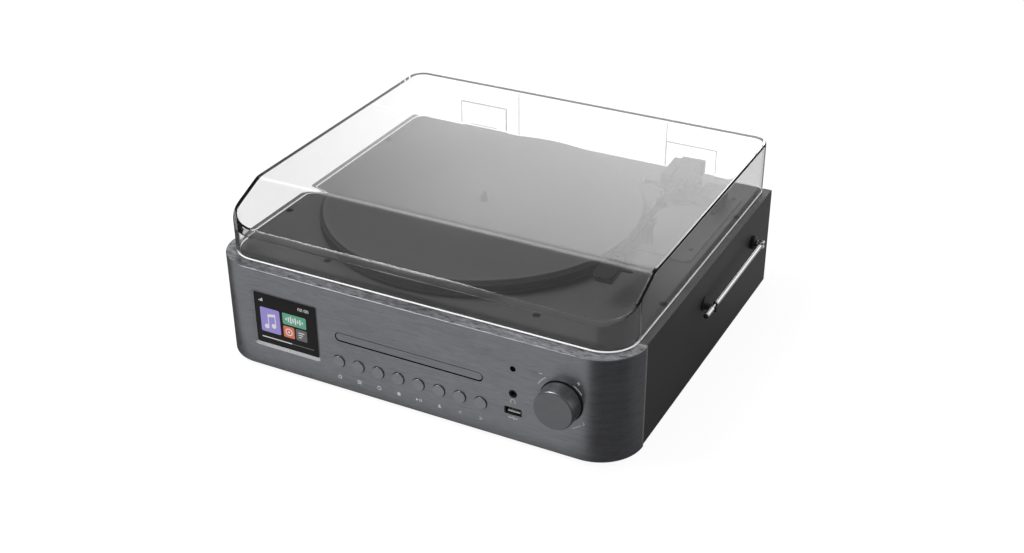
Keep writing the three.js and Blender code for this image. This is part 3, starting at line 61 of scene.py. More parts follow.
QUARTER = math.pi / 2
PRINT_THICK = 0.05
NOISE_RANGE = (0.3, 0.7)
Flat = tuple[float, float]
Colour = tuple[float, float, float]
Point = Sequence[float]
Row = list[bmesh.types.BMVert]
Outline = Callable[[float], list[Flat]]
Socket = bpy.types.NodeSocket


class Facing(Enum):
    """The way a flat sketch looks: its own x, y and z as directions of the object."""

    FRONT = ((1, 0, 0), (0, 0, 1), (0, -1, 0))
    BACK = ((-1, 0, 0), (0, 0, 1), (0, 1, 0))
    RIGHT = ((0, 1, 0), (0, 0, 1), (1, 0, 0))

    def at(self, x: float, y: float, z: float) -> Matrix:
        """Gives the matrix that puts a sketch's origin at a place in millimetres."""
        return Matrix.Translation((x, y, z)) @ Matrix(self.value).transposed().to_4x4()


def shift(x: float, y: float, z: float = 0.0) -> Matrix:
    """Gives the matrix of a move."""
    return Matrix.Translation((x, y, z))


def sideways(x: float, y: float, z: float) -> Matrix:
    """Gives the place of a shape turned about an axis that runs to the right."""
    return shift(x, y, z) @ Matrix.Rotation(QUARTER, 4, "Y")


class Node:
    """A CAD node's box in millimetres."""

    def __init__(self, node: str) -> None:
        """Reads the box from the frame.

        Args:
            node: The node's name.
        """
        low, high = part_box(node)
        self.low, self.high = low / MM, high / MM
        self.centre = (self.low + self.high) / 2
        self.wide, self.deep, self.tall = (b - a for a, b in zip(self.low, self.high))

    def front(self) -> Matrix:
        """Gives the middle of its back face, looking to the front."""
        return Facing.FRONT.at(self.centre.x, self.high.y, self.centre.z)


def arc(radius: float, start: float, end: float, steps: int, centre: Flat = (0, 0)) -> list[Flat]:
    """Points along an arc.

    Args:
        radius: The arc's radius.
        start: First angle in degrees.
        end: Last angle in degrees.
        steps: How many pieces the arc has.
        centre: Its centre.

    Returns:
        steps + 1 points.
    """
    angles = [math.radians(start + (end - start) * i / steps) for i in range(steps + 1)]
    return [(centre[0] + radius * math.cos(a), centre[1] + radius * math.sin(a)) for a in angles]


def rounded(width: float, height: float, radii: float | Sequence[float], centre: Flat = (0, 0),
            steps: int = 8) -> Outline:
    """A rectangle with round corners that can grow.

    Args:
        width: Full width.
        height: Full height.
        radii: One radius, or four from the lower right corner counter-clockwise.
        centre: The rectangle's centre.
        steps: Pieces per corner.

    Returns:
        A function from growth to outline points.
    """
    four = [radii] * 4 if isinstance(radii, (int, float)) else list(radii)
    signs = ((1, -1, -90), (1, 1, 0), (-1, 1, 90), (-1, -1, 180))

    def outline(grow: float) -> list[Flat]:
        """Gives the outline grown by a distance.

        Args:
            grow: The distance, negative to shrink.

        Returns:
            The outline's points.
        """
        points: list[Flat] = []
        for (sx, sy, start), radius in zip(signs, four):
            r = max(radius + grow, 0.02)
            spot = (centre[0] + sx * (width / 2 + grow - r), centre[1] + sy * (height / 2 + grow - r))
            points += arc(r, start, start + 90, steps, spot)
        return points

    return outline


def disc(radius: float, centre: Flat = (0, 0), steps: int = 10) -> Outline:
    """A circle that can grow, as a rectangle that is all corner."""
    return rounded(2 * radius, 2 * radius, radius - TINY, centre, steps)


def eased(points: Sequence[Flat], width: float, steps: int = 3, closed: bool = False) -> list[Flat]:
    """Rounds the corners of a line of points.

    Args:
        points: The line's corners.
        width: How far the rounding reaches from a corner, at most 0.45 of a side.
        steps: Pieces per corner.
        closed: Whether the line closes on itself.

    Returns:
        The rounded line.
    """
    line = [Vector(p) for p in points]
    result: list[Flat] = []
    for i, here in enumerate(line):
        if not closed and i in (0, len(line) - 1):
            result.append(tuple(here))
            continue
        back, ahead = line[i - 1] - here, line[(i + 1) % len(line)] - here
        start = here + back.normalized() * min(width, 0.45 * back.length)
        end = here + ahead.normalized() * min(width, 0.45 * ahead.length)
        for t in (s / steps for s in range(steps + 1)):
            result.append(tuple(start * (1 - t) ** 2 + here * 2 * t * (1 - t) + end * t**2))
    return result


def inside(point: Vector, loop: Sequence[Flat]) -> bool:
    """Says whether a point lies inside a closed line.

    Args:
        point: The point to test.
        loop: The line's corners.

    Returns:
        True inside.
    """
    hit = False
    for (ax, ay), (bx, by) in zip(loop, [*loop[1:], loop[0]]):
        if (ay > point.y) != (by > point.y) and point.x < (bx - ax) * (point.y - ay) / (by - ay) + ax:
            hit = not hit
    return hit


def scaled(colour: Colour, factor: float, most: float = math.inf) -> Colour:
    """Gives a lighter or darker colour."""
    return tuple(min(most, c * factor) for c in colour)


class Tree:
    """A material or world under construction as a tree of nodes."""

    def __init__(self, owner: bpy.types.Material | bpy.types.World) -> None:
        """Empties the tree of a material or world.

        Args:
            owner: The material or world.
        """
        owner.use_nodes = True
        self.nodes = owner.node_tree.nodes
        self.links = owner.node_tree.links
        self.nodes.clear()

    def add(self, kind: str, inputs: dict[str | int, Any] | None = None, **settings: Any) -> bpy.types.Node:
        """Adds a node.

        Args:
            kind: The node's type, without the word ShaderNode.
            inputs: Values or sockets for its inputs.
            settings: Values for its properties.

        Returns:
            The node.
        """
        node = self.nodes.new("ShaderNode" + kind)
        for key, value in settings.items():
            setattr(node, key, value)
        for key, value in (inputs or {}).items():
            if isinstance(value, Socket):
                self.links.new(value, node.inputs[key])
            else:
                node.inputs[key].default_value = value
        return node

    def out(self, kind: str, inputs: dict[str | int, Any] | None = None, **settings: Any) -> Socket:
        """Adds a node and gives its first output."""
        return self.add(kind, inputs, **settings).outputs[0]

    def mix(self, factor: Any, first: Any, second: Colour) -> Socket:
        """Mixes two colours by a factor."""
        base = first if isinstance(first, Socket) else (*first, 1)
        return self.add("Mix", {0: factor, 6: base, 7: (*second, 1)}, data_type="RGBA").outputs[2]

    def blend(self, factor: Any, first: Any, second: Any) -> Socket:
        """Mixes two values by a factor."""
        return self.out("Mix", {0: factor, 2: first, 3: second})

    def spread(self, value: Any, low: float, high: float, start: float = 0.0, end: float = 1.0,
               **settings: Any) -> Socket:
        """Maps a value from start to end onto low to high."""
        inputs = {"Value": value, "From Min": start, "From Max": end, "To Min": low, "To Max": high}
        return self.out("MapRange", inputs, **settings)

    def ease(self, value: Any, start: float, end: float) -> Socket:
        """Turns a value into a soft step from 0 at start to 1 at end."""
        return self.spread(value, 0.0, 1.0, start, end, interpolation_type="SMOOTHSTEP")

    def maths(self, kind: str, first: Any, second: Any) -> Socket:
        """Joins two values by an operation."""
        return self.out("Math", {0: first, 1: second}, operation=kind)

    def times(self, first: Any, second: Any) -> Socket:
        """Multiplies two values."""
        return self.maths("MULTIPLY", first, second)

    def noise(self, scale: float | Point, detail: float = 3.0, rough: float = 0.55, warp: float = 0.0) -> Socket:
        """Noise in the object's own space.

        Args:
            scale: Waves per metre, the same or one each along x, y and z.
            detail: Octaves.
            rough: Share of the fine octaves.
            warp: How far the waves are bent.

        Returns:
            The noise.
        """
        each = (scale,) * 3 if isinstance(scale, (int, float)) else tuple(scale)
        where = self.add("TexCoord").outputs["Object"]
        spread = self.out("Mapping", {"Vector": where, "Scale": each})
        inputs = {"Vector": spread, "Scale": 1.0, "Detail": detail, "Roughness": rough, "Distortion": warp}
        return self.out("TexNoise", inputs)

    def background(self) -> Socket:
        """Tells the background that the camera sees straight or through clear parts, unmirrored.

        Returns:
            1 there and 0 elsewhere.
        """
        path = self.add("LightPath")
        mirrored = self.maths("MINIMUM", path.outputs["Glossy Depth"], 1.0)
        through = self.times(path.outputs["Is Transmission Ray"], self.maths("SUBTRACT", 1.0, mirrored))
        return self.maths("MAXIMUM", path.outputs["Is Camera Ray"], through)

    def bump(self, height: Socket, depth: float) -> Socket:
        """Turns a height into a normal, with its depth in millimetres."""
        return self.out("Bump", {"Height": height, "Distance": depth * MM, "Strength": 1.0})

    def surface(self, **inputs: Any) -> Socket:
        """Adds the main shader. Underscores in the names of its inputs stand for spaces."""
        return self.out("BsdfPrincipled", {key.replace("_", " "): value for key, value in inputs.items()})

    def close(self, shader: Socket, kind: str = "OutputMaterial") -> None:
        """Ends the tree with its output node."""
        self.add(kind, {0: shader})


@dataclass(frozen=True)
class Finish:
    """A surface finish. Each kind shades itself."""

    name: str
    made: ClassVar[dict[str, bpy.types.Material]] = {}

    def shade(self, tree: Tree) -> Socket:
        """Builds the finish's nodes.

        Args:
            tree: The material's tree.

        Returns:
            The shader.
        """
        raise NotImplementedError

    def material(self) -> bpy.types.Material:
        """Makes the material at its first use.

        Returns:
            The material.
        """
        if self.name not in Finish.made:
            material = bpy.data.materials.new(self.name)
            tree = Tree(material)
            tree.close(self.shade(tree))
            Finish.made[self.name] = material
        return Finish.made[self.name]


@dataclass(frozen=True)
class Moulded(Finish):
    """Moulded plastic, rubber, paint or plain metal with a fine grain."""

    colour: Colour
    roughness: float = 0.45
    metallic: float = 0.0
    grain: float = 0.5
    depth: float = 0.01
    mottle: float = 0.1
    wear: float = 0.25
    specular: float = 0.5
    # Painted glow: light given off, used for the cover's bright rim.
    glow: float = 0.0
    waves: ClassVar[float] = 35.0

    def shade(self, tree: Tree) -> Socket:
        """Builds the finish's nodes.

        Args:
            tree: The material's tree.

        Returns:
            The shader.
        """
        fine = tree.noise(1 / (self.grain * MM), 2.0)
        wide = tree.noise(self.waves, 4.0)
        dark, light = scaled(self.colour, 1 - self.mottle), scaled(self.colour, 1 + self.mottle, 1.0)
        base = tree.mix(tree.spread(wide, 0, 1, *NOISE_RANGE), dark, light)
        edge = tree.spread(tree.add("NewGeometry").outputs["Pointiness"], 0, self.wear, 0.52, 0.6)
        return tree.surface(
            Base_Color=tree.mix(edge, base, tuple(min(1, c * 2 + 0.03) for c in light)),
            Metallic=self.metallic,
            Roughness=tree.spread(wide, self.roughness - 0.04, self.roughness + 0.05),
            Specular_IOR_Level=self.specular,
            Emission_Color=(*self.colour, 1),
            Emission_Strength=self.glow,
            Normal=tree.bump(fine, self.depth))


@dataclass(frozen=True)
class Brushed(Finish):
    """Metal with fine level streaks on upright faces and a cloudy brush on flat ones; flat faces' colour is scaled by
    level, a painted shade.
    """

    colour: Colour
    roughness: float = 0.4
    streak: float = 0.16
    cloud: float = 0.45
    metallic: float = 0.85
    # Painted shade: share of the colour that flat, upward faces keep.
    level: float = 1.0
    long_waves: ClassVar[Point] = (28, 28, 520)
    short_waves: ClassVar[Point] = (75, 75, 560)
    cloud_waves: ClassVar[Point] = (120, 260, 260)
    tone_waves: ClassVar[Point] = (14, 14, 40)

    def shade(self, tree: Tree) -> Socket:
        """Builds the finish's nodes.

        Args:
            tree: The material's tree.

        Returns:
            The shader.
        """
        lines = tree.noise(self.long_waves, 4.0, 0.6)
        short = tree.noise(self.short_waves, 3.0, 0.6, 0.7)
        clouds = tree.noise(self.cloud_waves, 3.0, 0.7)
        wide = tree.noise(self.tone_waves, 3.0)
        way = tree.add("SeparateXYZ", {0: tree.add("TexCoord").outputs["Normal"]}).outputs[2]
        level = tree.spread(way, 0, 1, 0.6, 0.9)
        pattern = tree.blend(level, tree.blend(0.7, lines, short), clouds)
        contrast = tree.times(tree.spread(pattern, -1, 1, *NOISE_RANGE), tree.spread(level, self.streak, self.cloud))
        tone = tree.maths("ADD", contrast, tree.spread(wide, -0.05, 0.05, *NOISE_RANGE))
        plain = tree.mix(tree.spread(tone, 0, 1, -1, 1), scaled(self.colour, 0.2), scaled(self.colour, 1.8))
        return tree.surface(
            # Painted shade: flat faces' colour is scaled down towards level.
            Base_Color=tree.out("VectorMath", {0: plain, "Scale": tree.spread(level, 1, self.level)},
                                operation="SCALE"),
            Metallic=self.metallic,
            Roughness=tree.spread(pattern, self.roughness - 0.06, self.roughness + 0.08, *NOISE_RANGE),
            Normal=tree.bump(pattern, 0.03))


@dataclass(frozen=True)
class Clear(Finish):
    """Clear acrylic that lets lamps through."""

    tint: Colour = (0.985, 0.985, 0.985)
    specular: float = 0.5
    index: ClassVar[float] = 1.49

    def shade(self, tree: Tree) -> Socket:
        """Builds the finish's nodes.

        Args:
            tree: The material's tree.

        Returns:
            The shader.
        """
        glass = tree.surface(
            Base_Color=(*self.tint, 1),
            Roughness=tree.spread(tree.noise(90.0, 5.0), 0.0, 0.03, 0.45, 0.75),
            IOR=self.index,
            Specular_IOR_Level=self.specular,
            Transmission_Weight=1.0)
        path = tree.add("LightPath")
        through = tree.maths("MAXIMUM", path.outputs["Is Shadow Ray"], path.outputs["Is Diffuse Ray"])
        veil = tree.out("BsdfTransparent", {0: (*self.tint, 1)})
        return tree.out("MixShader", {0: through, 1: glass, 2: veil})


@dataclass(frozen=True)
class PaintedEdgeShadeAndSheen(Finish):
    """Painted shade on a clear part's rounded edges: a dark, partly see-through coat; in a light colour it is a
    painted sheen.
    """

    colour: Colour
    alpha: float = 0.85

    def shade(self, tree: Tree) -> Socket:
        """Builds the finish's nodes.

        Args:
            tree: The material's tree.

        Returns:
            The shader.
        """
        patchy = tree.spread(tree.noise(60.0, 3.0), 0, 1, *NOISE_RANGE)
        return tree.surface(
            Base_Color=tree.mix(patchy, scaled(self.colour, 0.8), self.colour),
            Roughness=tree.spread(patchy, 0.35, 0.45),
            Specular_IOR_Level=0.02,
            Alpha=self.alpha)


@dataclass(frozen=True)
class Glow(Finish):
    """A lit patch of the display under its glass."""

    colour: Colour
    strength: ClassVar[float] = 0.8

    def shade(self, tree: Tree) -> Socket:
        """Builds the finish's nodes.

        Args:
            tree: The material's tree.

        Returns:
            The shader.
        """
        dots = tree.spread(tree.noise(2600.0, 1.0), 0, 1, 0.4, 0.6)
        return tree.surface(
            Base_Color=(0.01, 0.01, 0.01, 1),
            Roughness=0.25,
            Emission_Color=tree.mix(dots, scaled(self.colour, 0.8), self.colour),
            Emission_Strength=self.strength)


@dataclass(frozen=True)
class Circuit(Finish):
    """A lacquered circuit board with copper lines under the lacquer."""

    colour: Colour

    def shade(self, tree: Tree) -> Socket:
        """Builds the finish's nodes.

        Args:
            tree: The material's tree.

        Returns:
            The shader.
        """
        lines = tree.add("TexBrick", {
            "Vector": tree.add("TexCoord").outputs["Object"], "Scale": 1.0, "Mortar Size": 0.0006,
            "Brick Width": 0.013, "Row Height": 0.0045, "Color1": (*self.colour, 1),
            "Color2": (*scaled(self.colour, 0.8), 1), "Mortar": (*scaled(self.colour, 1.9), 1)})
        return tree.surface(
            Base_Color=lines.outputs[0],
            Roughness=tree.spread(tree.noise(60.0), 0.3, 0.45),
            Normal=tree.bump(lines.outputs[1], 0.03))


# The last number, 0.57, darkens the front's flat faces, its ledge, as painted shade.
FRONT_METAL = Brushed("brushed_front_metal", (0.36, 0.366, 0.388), 0.32, 0.2, 0.8, 0.9, 0.57)
# A lighter, less metallic copy of the front metal for the panel's end strips: a painted highlight.
EDGE_HIGHLIGHT_METAL = Brushed("metal_edge_painted_highlight", (0.34, 0.344, 0.355), 0.5, 0.05, 0.1, 0.4)
# A much lighter copy of the front metal for the sill under the display: a painted highlight.
SILL_HIGHLIGHT_METAL = Brushed("screen_sill_painted_highlight", (0.6, 0.605, 0.63), 0.45, 0.12, 0.1, 0.3)
BUTTON_METAL = Brushed("brushed_button_metal", (0.4, 0.406, 0.43), 0.32, 0.15, 0.3, 0.9)
KNOB_METAL = Brushed("turned_knob_metal", (0.24, 0.243, 0.257), 0.34, 0.08, 0.05, 0.8)
SIDE_FOIL = Moulded("side_foil", (0.04, 0.04, 0.041), 0.5, grain=0.35, depth=0.02, mottle=0.16, wear=0.5)
CASE_BLACK = Moulded("case_black", (0.02, 0.02, 0.021), 0.6, grain=0.9, depth=0.03)
DECK_BLACK = Moulded("deck_black", (0.065, 0.065, 0.066), 0.5, 0, 1.2, 0.001, 0.04, specular=0.1)
SATIN_BLACK = Moulded("satin_black", (0.018, 0.018, 0.019), 0.38, grain=0.6)
ARM_BLACK = Moulded("arm_black", (0.014, 0.014, 0.0145), 0.45, depth=0.004, specular=0.01)
RUBBER = Moulded("rubber", (0.012, 0.012, 0.012), 0.8, depth=0.04, specular=0.2)
PLATTER_BLACK = Moulded("platter_black", (0.032, 0.032, 0.0325), 0.5, specular=0.02)
MAT_RUBBER = Moulded("mat_rubber", (0.07, 0.07, 0.071), 0.7, 0, 1.2, 0.001, 0.03, specular=0.08)
CHROME = Moulded("chrome", (0.9, 0.9, 0.9), 0.15, 1, 2.0, 0.001, 0.03, 0)
STEEL = Moulded("steel", (0.55, 0.55, 0.56), 0.3, 1, 0.3, 0.003)
DARK_STEEL = Moulded("dark_steel", (0.07, 0.07, 0.073), 0.4, 1, 0.3, 0.003)
PIN_GREY = Moulded("pin_grey", (0.1, 0.1, 0.101), 0.7, 0, 0.6, 0.001, 0.05, 0, 0.1)
BRASS = Moulded("brass", (0.62, 0.45, 0.2), 0.28, 1, 0.4, 0.004)
TRAY_GREY = Moulded("tray_grey", (0.05, 0.05, 0.052), 0.5, grain=0.4, depth=0.02)
PRINT = Moulded("print_grey", (0.75, 0.76, 0.78), 0.6, 0, 0.2, 0.002, 0.05, 0)
SCREEN_BLACK = Moulded("screen_black", (0.016, 0.0155, 0.0155), 0.12, 0, 5.0, 0.0005, 0.05, specular=0.12)
# Black for the infrared eye and the deck's screws; on the walls inside the front's holes and the memory stick socket
# it is painted shade.
BLACK_AND_HOLE_SHADE = Moulded("black_and_painted_hole_shade", (0.004, 0.004, 0.004), 0.7, grain=0.4, specular=0.05, wear=0)
WHITE = Moulded("white_plastic", (0.6, 0.6, 0.58))
RED = Moulded("red_plastic", (0.5, 0.03, 0.025), 0.4)
BOARD = Circuit("circuit_board", (0.02, 0.09, 0.04))
CLEAR = Clear("clear_acrylic")
# Darker, less glossy copies of the clear acrylic for the front and right walls: painted shade.
CLEAR_FRONT_SHADED = Clear("clear_acrylic_front_painted_shade", (0.9, 0.9, 0.9), 0.12)
CLEAR_SIDE_SHADED = Clear("clear_acrylic_side_painted_shade", (0.86, 0.86, 0.86), 0.35)
# Dark coats on the cover's rounded edges, silhouettes, strip and hinge leaves: painted shade.
CLEAR_EDGE_SHADE = PaintedEdgeShadeAndSheen("acrylic_edge_painted_shade", (0.012, 0.012, 0.012))
# A faint, light coat on the front knee's rounding: a painted sheen.
CLEAR_KNEE_SHEEN = PaintedEdgeShadeAndSheen("acrylic_knee_painted_sheen", (0.16, 0.16, 0.16), 0.35)
CLEAR_RIM_SHADE = PaintedEdgeShadeAndSheen("acrylic_thin_edge_painted_shade", (0.05, 0.05, 0.05), 0.85)
CLEAR_STRIP_SHADE = PaintedEdgeShadeAndSheen("acrylic_strip_edge_painted_shade", (0.05, 0.05, 0.05), 0.5)
# Painted highlight and glow: a near-white rim along the cover's bottom edge that gives off light.
RIM_PAINTED_GLOW = Moulded("rim_painted_glow", (0.92, 0.92, 0.92), 0.35, grain=0.6, mottle=0.03, wear=0, glow=0.28)


class Form:
    """A mesh being shaped, in millimetres. Each shape takes the place and finish that are set."""

    def __init__(self, place: Matrix = Matrix()) -> None:
        """Starts an empty mesh.

        Args:
            place: Where its sketches lie.
        """
        self.mesh = bmesh.new()
        self.place = place
        self.finish = 0

    def row(self, points: Iterable[Point]) -> Row:
        """Adds points of the sketch."""
        return [self.mesh.verts.new(self.place @ Vector(p)) for p in points]

    def level(self, points: Iterable[Flat], z: float) -> Row:
        """Adds flat points at one height of the sketch."""
        return self.row((x, y, z) for x, y in points)

    def face(self, verts: Iterable[bmesh.types.BMVert]) -> None:
        """Adds a face unless its corners fall together.

        Args:
            verts: Its corners in order.
        """
        distinct = list(dict.fromkeys(verts))
        if len(distinct) > 2:
            self.mesh.faces.new(distinct).material_index = self.finish

    def skin(self, rows: Sequence[Row], closed: bool = True, caps: bool = False) -> None:
        """Joins rows of points with faces.

        Args:
            rows: Rows of equal length.
            closed: Whether each row closes on itself.
            caps: Whether the first and last row are filled.
        """
        for one, two in zip(rows, rows[1:]):
            for i in range(len(one) if closed else len(one) - 1):
                j = (i + 1) % len(one)
                self.face((one[i], one[j], two[j], two[i]))
        if caps:
            self.face(rows[0])
            self.face(rows[-1])

    def take(self, part: bmesh.types.BMesh) -> None:
        """Takes over a separate part's faces.

        Args:
            part: The part, which is freed.
        """
        for face in part.faces:
            face.material_index = self.finish
        data = bpy.data.meshes.new("part")
        part.to_mesh(data)
        self.mesh.from_mesh(data)
        bpy.data.meshes.remove(data)
        part.free()

    def patch(self, edge: Sequence[Flat], holes: Sequence[Sequence[Flat]], depth: float,
              bend: Callable[[float, float, float], Point] = lambda *spot: spot,
              columns: Sequence[tuple[int, int]] = ()) -> None:
        """Fills a flat outline with holes.

        Args:
            edge: The outline.
            holes: Outlines that stay open.
            depth: The sketch's third coordinate.
            bend: Where a point of the sketch goes before it is placed.
            columns: Pairs of edge points that a straight line joins.
        """
        points: list[Vector] = []
        lines: list[tuple[int, int]] = list(columns)
        for loop in [edge, *holes]:
            start = len(points)
            points += [Vector(p) for p in loop]
            lines += [(start + i, start + (i + 1) % len(loop)) for i in range(len(loop))]
        flat, _, faces, *_ = delaunay_2d_cdt(points, lines, [], 1, TINY)
        verts = self.row(bend(p.x, p.y, depth) for p in flat)
        for numbers in faces:
            centre = sum((flat[i] for i in numbers), Vector((0, 0))) / len(numbers)
            if inside(centre, edge) and not any(inside(centre, hole) for hole in holes):
                self.face(verts[i] for i in numbers)

    def plate(self, edge: Outline, holes: Sequence[Outline], low: float, high: float, ease: float = 0.3) -> None:
        """A plate with holes and eased edges.

        Args:
            edge: Its outline.
            holes: Its holes.
            low: Its lower face.
            high: Its upper face.
            ease: Width of the eased edge.
        """
        soft = ease * 0.3
        steps = [(ease, high), (soft, high - soft), (0, high - ease), (0, low + ease), (soft, low + soft), (ease, low)]
        for outline, way in [(edge, -1), *((hole, 1) for hole in holes)]:
            self.skin([self.level(outline(way * inset), z) for inset, z in steps])
        for z in (high, low):
            self.patch(edge(-ease), [hole(ease) for hole in holes], z)

    def turned(self, profile: Sequence[Flat], steps: int = 48, ease: float = 0.0, closed: bool = False) -> None:
        """Turns a profile about the sketch's z.

        Args:
            profile: Pairs of radius and height.
            steps: Facets round the axis.
            ease: Width of the eased corners.
            closed: Whether the profile closes on itself.
        """
        rows = []
        for radius, height in eased(profile, ease, 3, closed) if ease else profile:
            if radius < TINY:
                rows.append(self.row([(0, 0, height)]) * steps)
            else:
                rows.append(self.level(arc(radius, 0, 360, steps)[:-1], height))
        self.skin([*rows, rows[0]] if closed else rows)

    def pipe(self, hole: float, radius: float, low: float, high: float, steps: int = 40, ease: float = 0.0) -> None:
        """Turns a rectangle: a ring, or a plain pin where the hole is 0.

        Args:
            hole: Inner radius.
            radius: Outer radius.
            low: Lower end.
            high: Upper end.
            steps: Facets round the axis.
            ease: Width of the eased corners.
        """
        self.turned([(hole, low), (radius, low), (radius, high), (hole, high)], steps, ease, closed=hole > 0)

    def block(self, low: Point, high: Point, ease: float = 0.4, rim: int | None = None) -> None:
        """A box with eased edges.

        Args:
            low: Its lowest corner.
            high: Its highest corner.
            ease: Width of the eased edges.
            rim: A finish for all faces that don't look to the front or back.
        """
        one, two = Vector(low), Vector(high)
        part = bmesh.new()
        matrix = self.place @ Matrix.Translation((one + two) / 2) @ Matrix.Diagonal((*(two - one), 1))
        bmesh.ops.create_cube(part, size=1, matrix=matrix)
        bmesh.ops.bevel(part, geom=part.edges[:], offset=ease, segments=3, profile=0.5, affect="EDGES",
                        clamp_overlap=True)
        part.normal_update()
        edges = [number for number, face in enumerate(part.faces) if abs(face.normal.y) < 0.9]
        start = len(self.mesh.faces)
        self.take(part)
        if rim is not None:
            self.mesh.faces.ensure_lookup_table()
            for index in edges:
                self.mesh.faces[start + index].material_index = rim

    def prism(self, outline: Sequence[Flat], low: float = -PRINT_THICK, high: float = PRINT_THICK,
              ease: float = 0.0) -> None:
        """An outline pulled up into a solid, by default as thin as printing.

        Args:
            outline: Its plan.
            low: Its lower face.
            high: Its upper face.
            ease: Width of the eased edges.
        """
        part = bmesh.new()
        rows = [[part.verts.new(self.place @ Vector((x, y, z))) for x, y in outline] for z in (low, high)]
        for i in range(len(outline)):
            j = (i + 1) % len(outline)
            part.faces.new((rows[0][i], rows[0][j], rows[1][j], rows[1][i]))
        for row in rows:
            part.faces.new(row)
        bmesh.ops.recalc_face_normals(part, faces=part.faces[:])
        if ease:
            sharp = [e for e in part.edges if e.calc_face_angle(0) > math.radians(30)]
            bmesh.ops.bevel(part, geom=sharp, offset=ease, segments=2, profile=0.5, affect="EDGES",
                            clamp_overlap=True)
        self.take(part)

    def tube(self, path: Sequence[Point], radius: float, sides: int) -> None:
        """A round bar along a path.

        Args:
            path: Points along its middle.
            radius: Its radius.
            sides: Facets round it.
        """
        line = [self.place @ Vector(p) for p in path]
        rows = []
        for i, point in enumerate(line):
            way = line[min(i + 1, len(line) - 1)] - line[max(i - 1, 0)]
            frame = Matrix.Translation(point) @ way.to_track_quat("Z", "Y").to_matrix().to_4x4()
            ring = arc(radius, 0, 360, sides)[:-1]
            rows.append([self.mesh.verts.new(frame @ Vector((x, y, 0))) for x, y in ring])
        self.skin(rows, caps=True)

    def ribbon(self, points: Sequence[Flat], width: float, thick: float = PRINT_THICK) -> None:
        """A thin raised stroke, for printing.

        Args:
            points: Its middle line.
            width: Its width.
            thick: How far it stands out.
        """
        line = [Vector(p) for p in points]
        sides: tuple[list[Flat], list[Flat]] = ([], [])
        for i, point in enumerate(line):
            way = (line[min(i + 1, len(line) - 1)] - line[max(i - 1, 0)]).normalized()
            across = Vector((-way.y, way.x)) * width / 2
            sides[0].append(tuple(point + across))
            sides[1].append(tuple(point - across))
        self.prism([*sides[0], *reversed(sides[1])], -thick, thick)

    def screw(self, place: Matrix, radius: float = 2.0, finishes: tuple[int, int] = (0, 0)) -> None:
        """A round screw head with a cross.

        Args:
            place: The place of its seat, looking out.
            radius: The head's radius.
            finishes: Finishes of head and cross.
        """
        kept, self.place = self.place, place
        self.finish = finishes[0]
        self.turned([(0, -0.5), (radius, -0.5), (radius, 0.25), (radius * 0.75, 0.62), (0, 0.75)], 24, 0.2)
        self.finish = finishes[1]
        arm, slot = radius * 0.55, radius * 0.13
        self.block((-arm, -slot, 0.2), (arm, slot, 0.79), 0.05)
        self.block((-slot, -arm, 0.2), (slot, arm, 0.8), 0.05)
        self.place, self.finish = kept, 0

    def finished(self, name: str, body: str, slot: str, finishes: Sequence[Finish], *replaces: str,
                 smooth: float = 32.0) -> bpy.types.Object:
        """Turns the form into a piece of the model.

        Args:
            name: The piece's name.
            body: The body it rides on.
            slot: The record's finish slot, which is not used.
            finishes: Its finishes in order.
            replaces: The nodes it stands for.
            smooth: Largest angle in degrees that is shaded round.

        Returns:
            The piece.
        """
        bmesh.ops.remove_doubles(self.mesh, verts=self.mesh.verts[:], dist=0.003)
        bmesh.ops.recalc_face_normals(self.mesh, faces=self.mesh.faces[:])
        bmesh.ops.transform(self.mesh, matrix=Matrix.Scale(MM, 4), verts=self.mesh.verts[:])
        data = bpy.data.meshes.new(name)
        self.mesh.to_mesh(data)
        self.mesh.free()
        for finish in finishes:
            data.materials.append(finish.material())
        data.polygons.foreach_set("use_smooth", [True] * len(data.polygons))
        data.set_sharp_from_angle(angle=math.radians(smooth))
        piece = bpy.data.objects.new(name, data)
        bpy.context.scene.collection.objects.link(piece)
        piece.modifiers.new("even_normals", "WEIGHTED_NORMAL").keep_sharp = True
        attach(piece, body)
        if replaces:
            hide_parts(*replaces)
        LOG.info("%s rides on %s with %d faces", name, body, len(data.polygons))
        return piece


def dress(finish: Finish, *nodes: str) -> None:
    """Gives CAD nodes that stay in view a finish.

    Args:
        finish: The finish.
        nodes: The nodes' names.
    """
    for node in nodes:
        for slot in bpy.data.objects[node].material_slots:
            slot.material = finish.material()
        LOG.info("%s wears %s", node, finish.name)


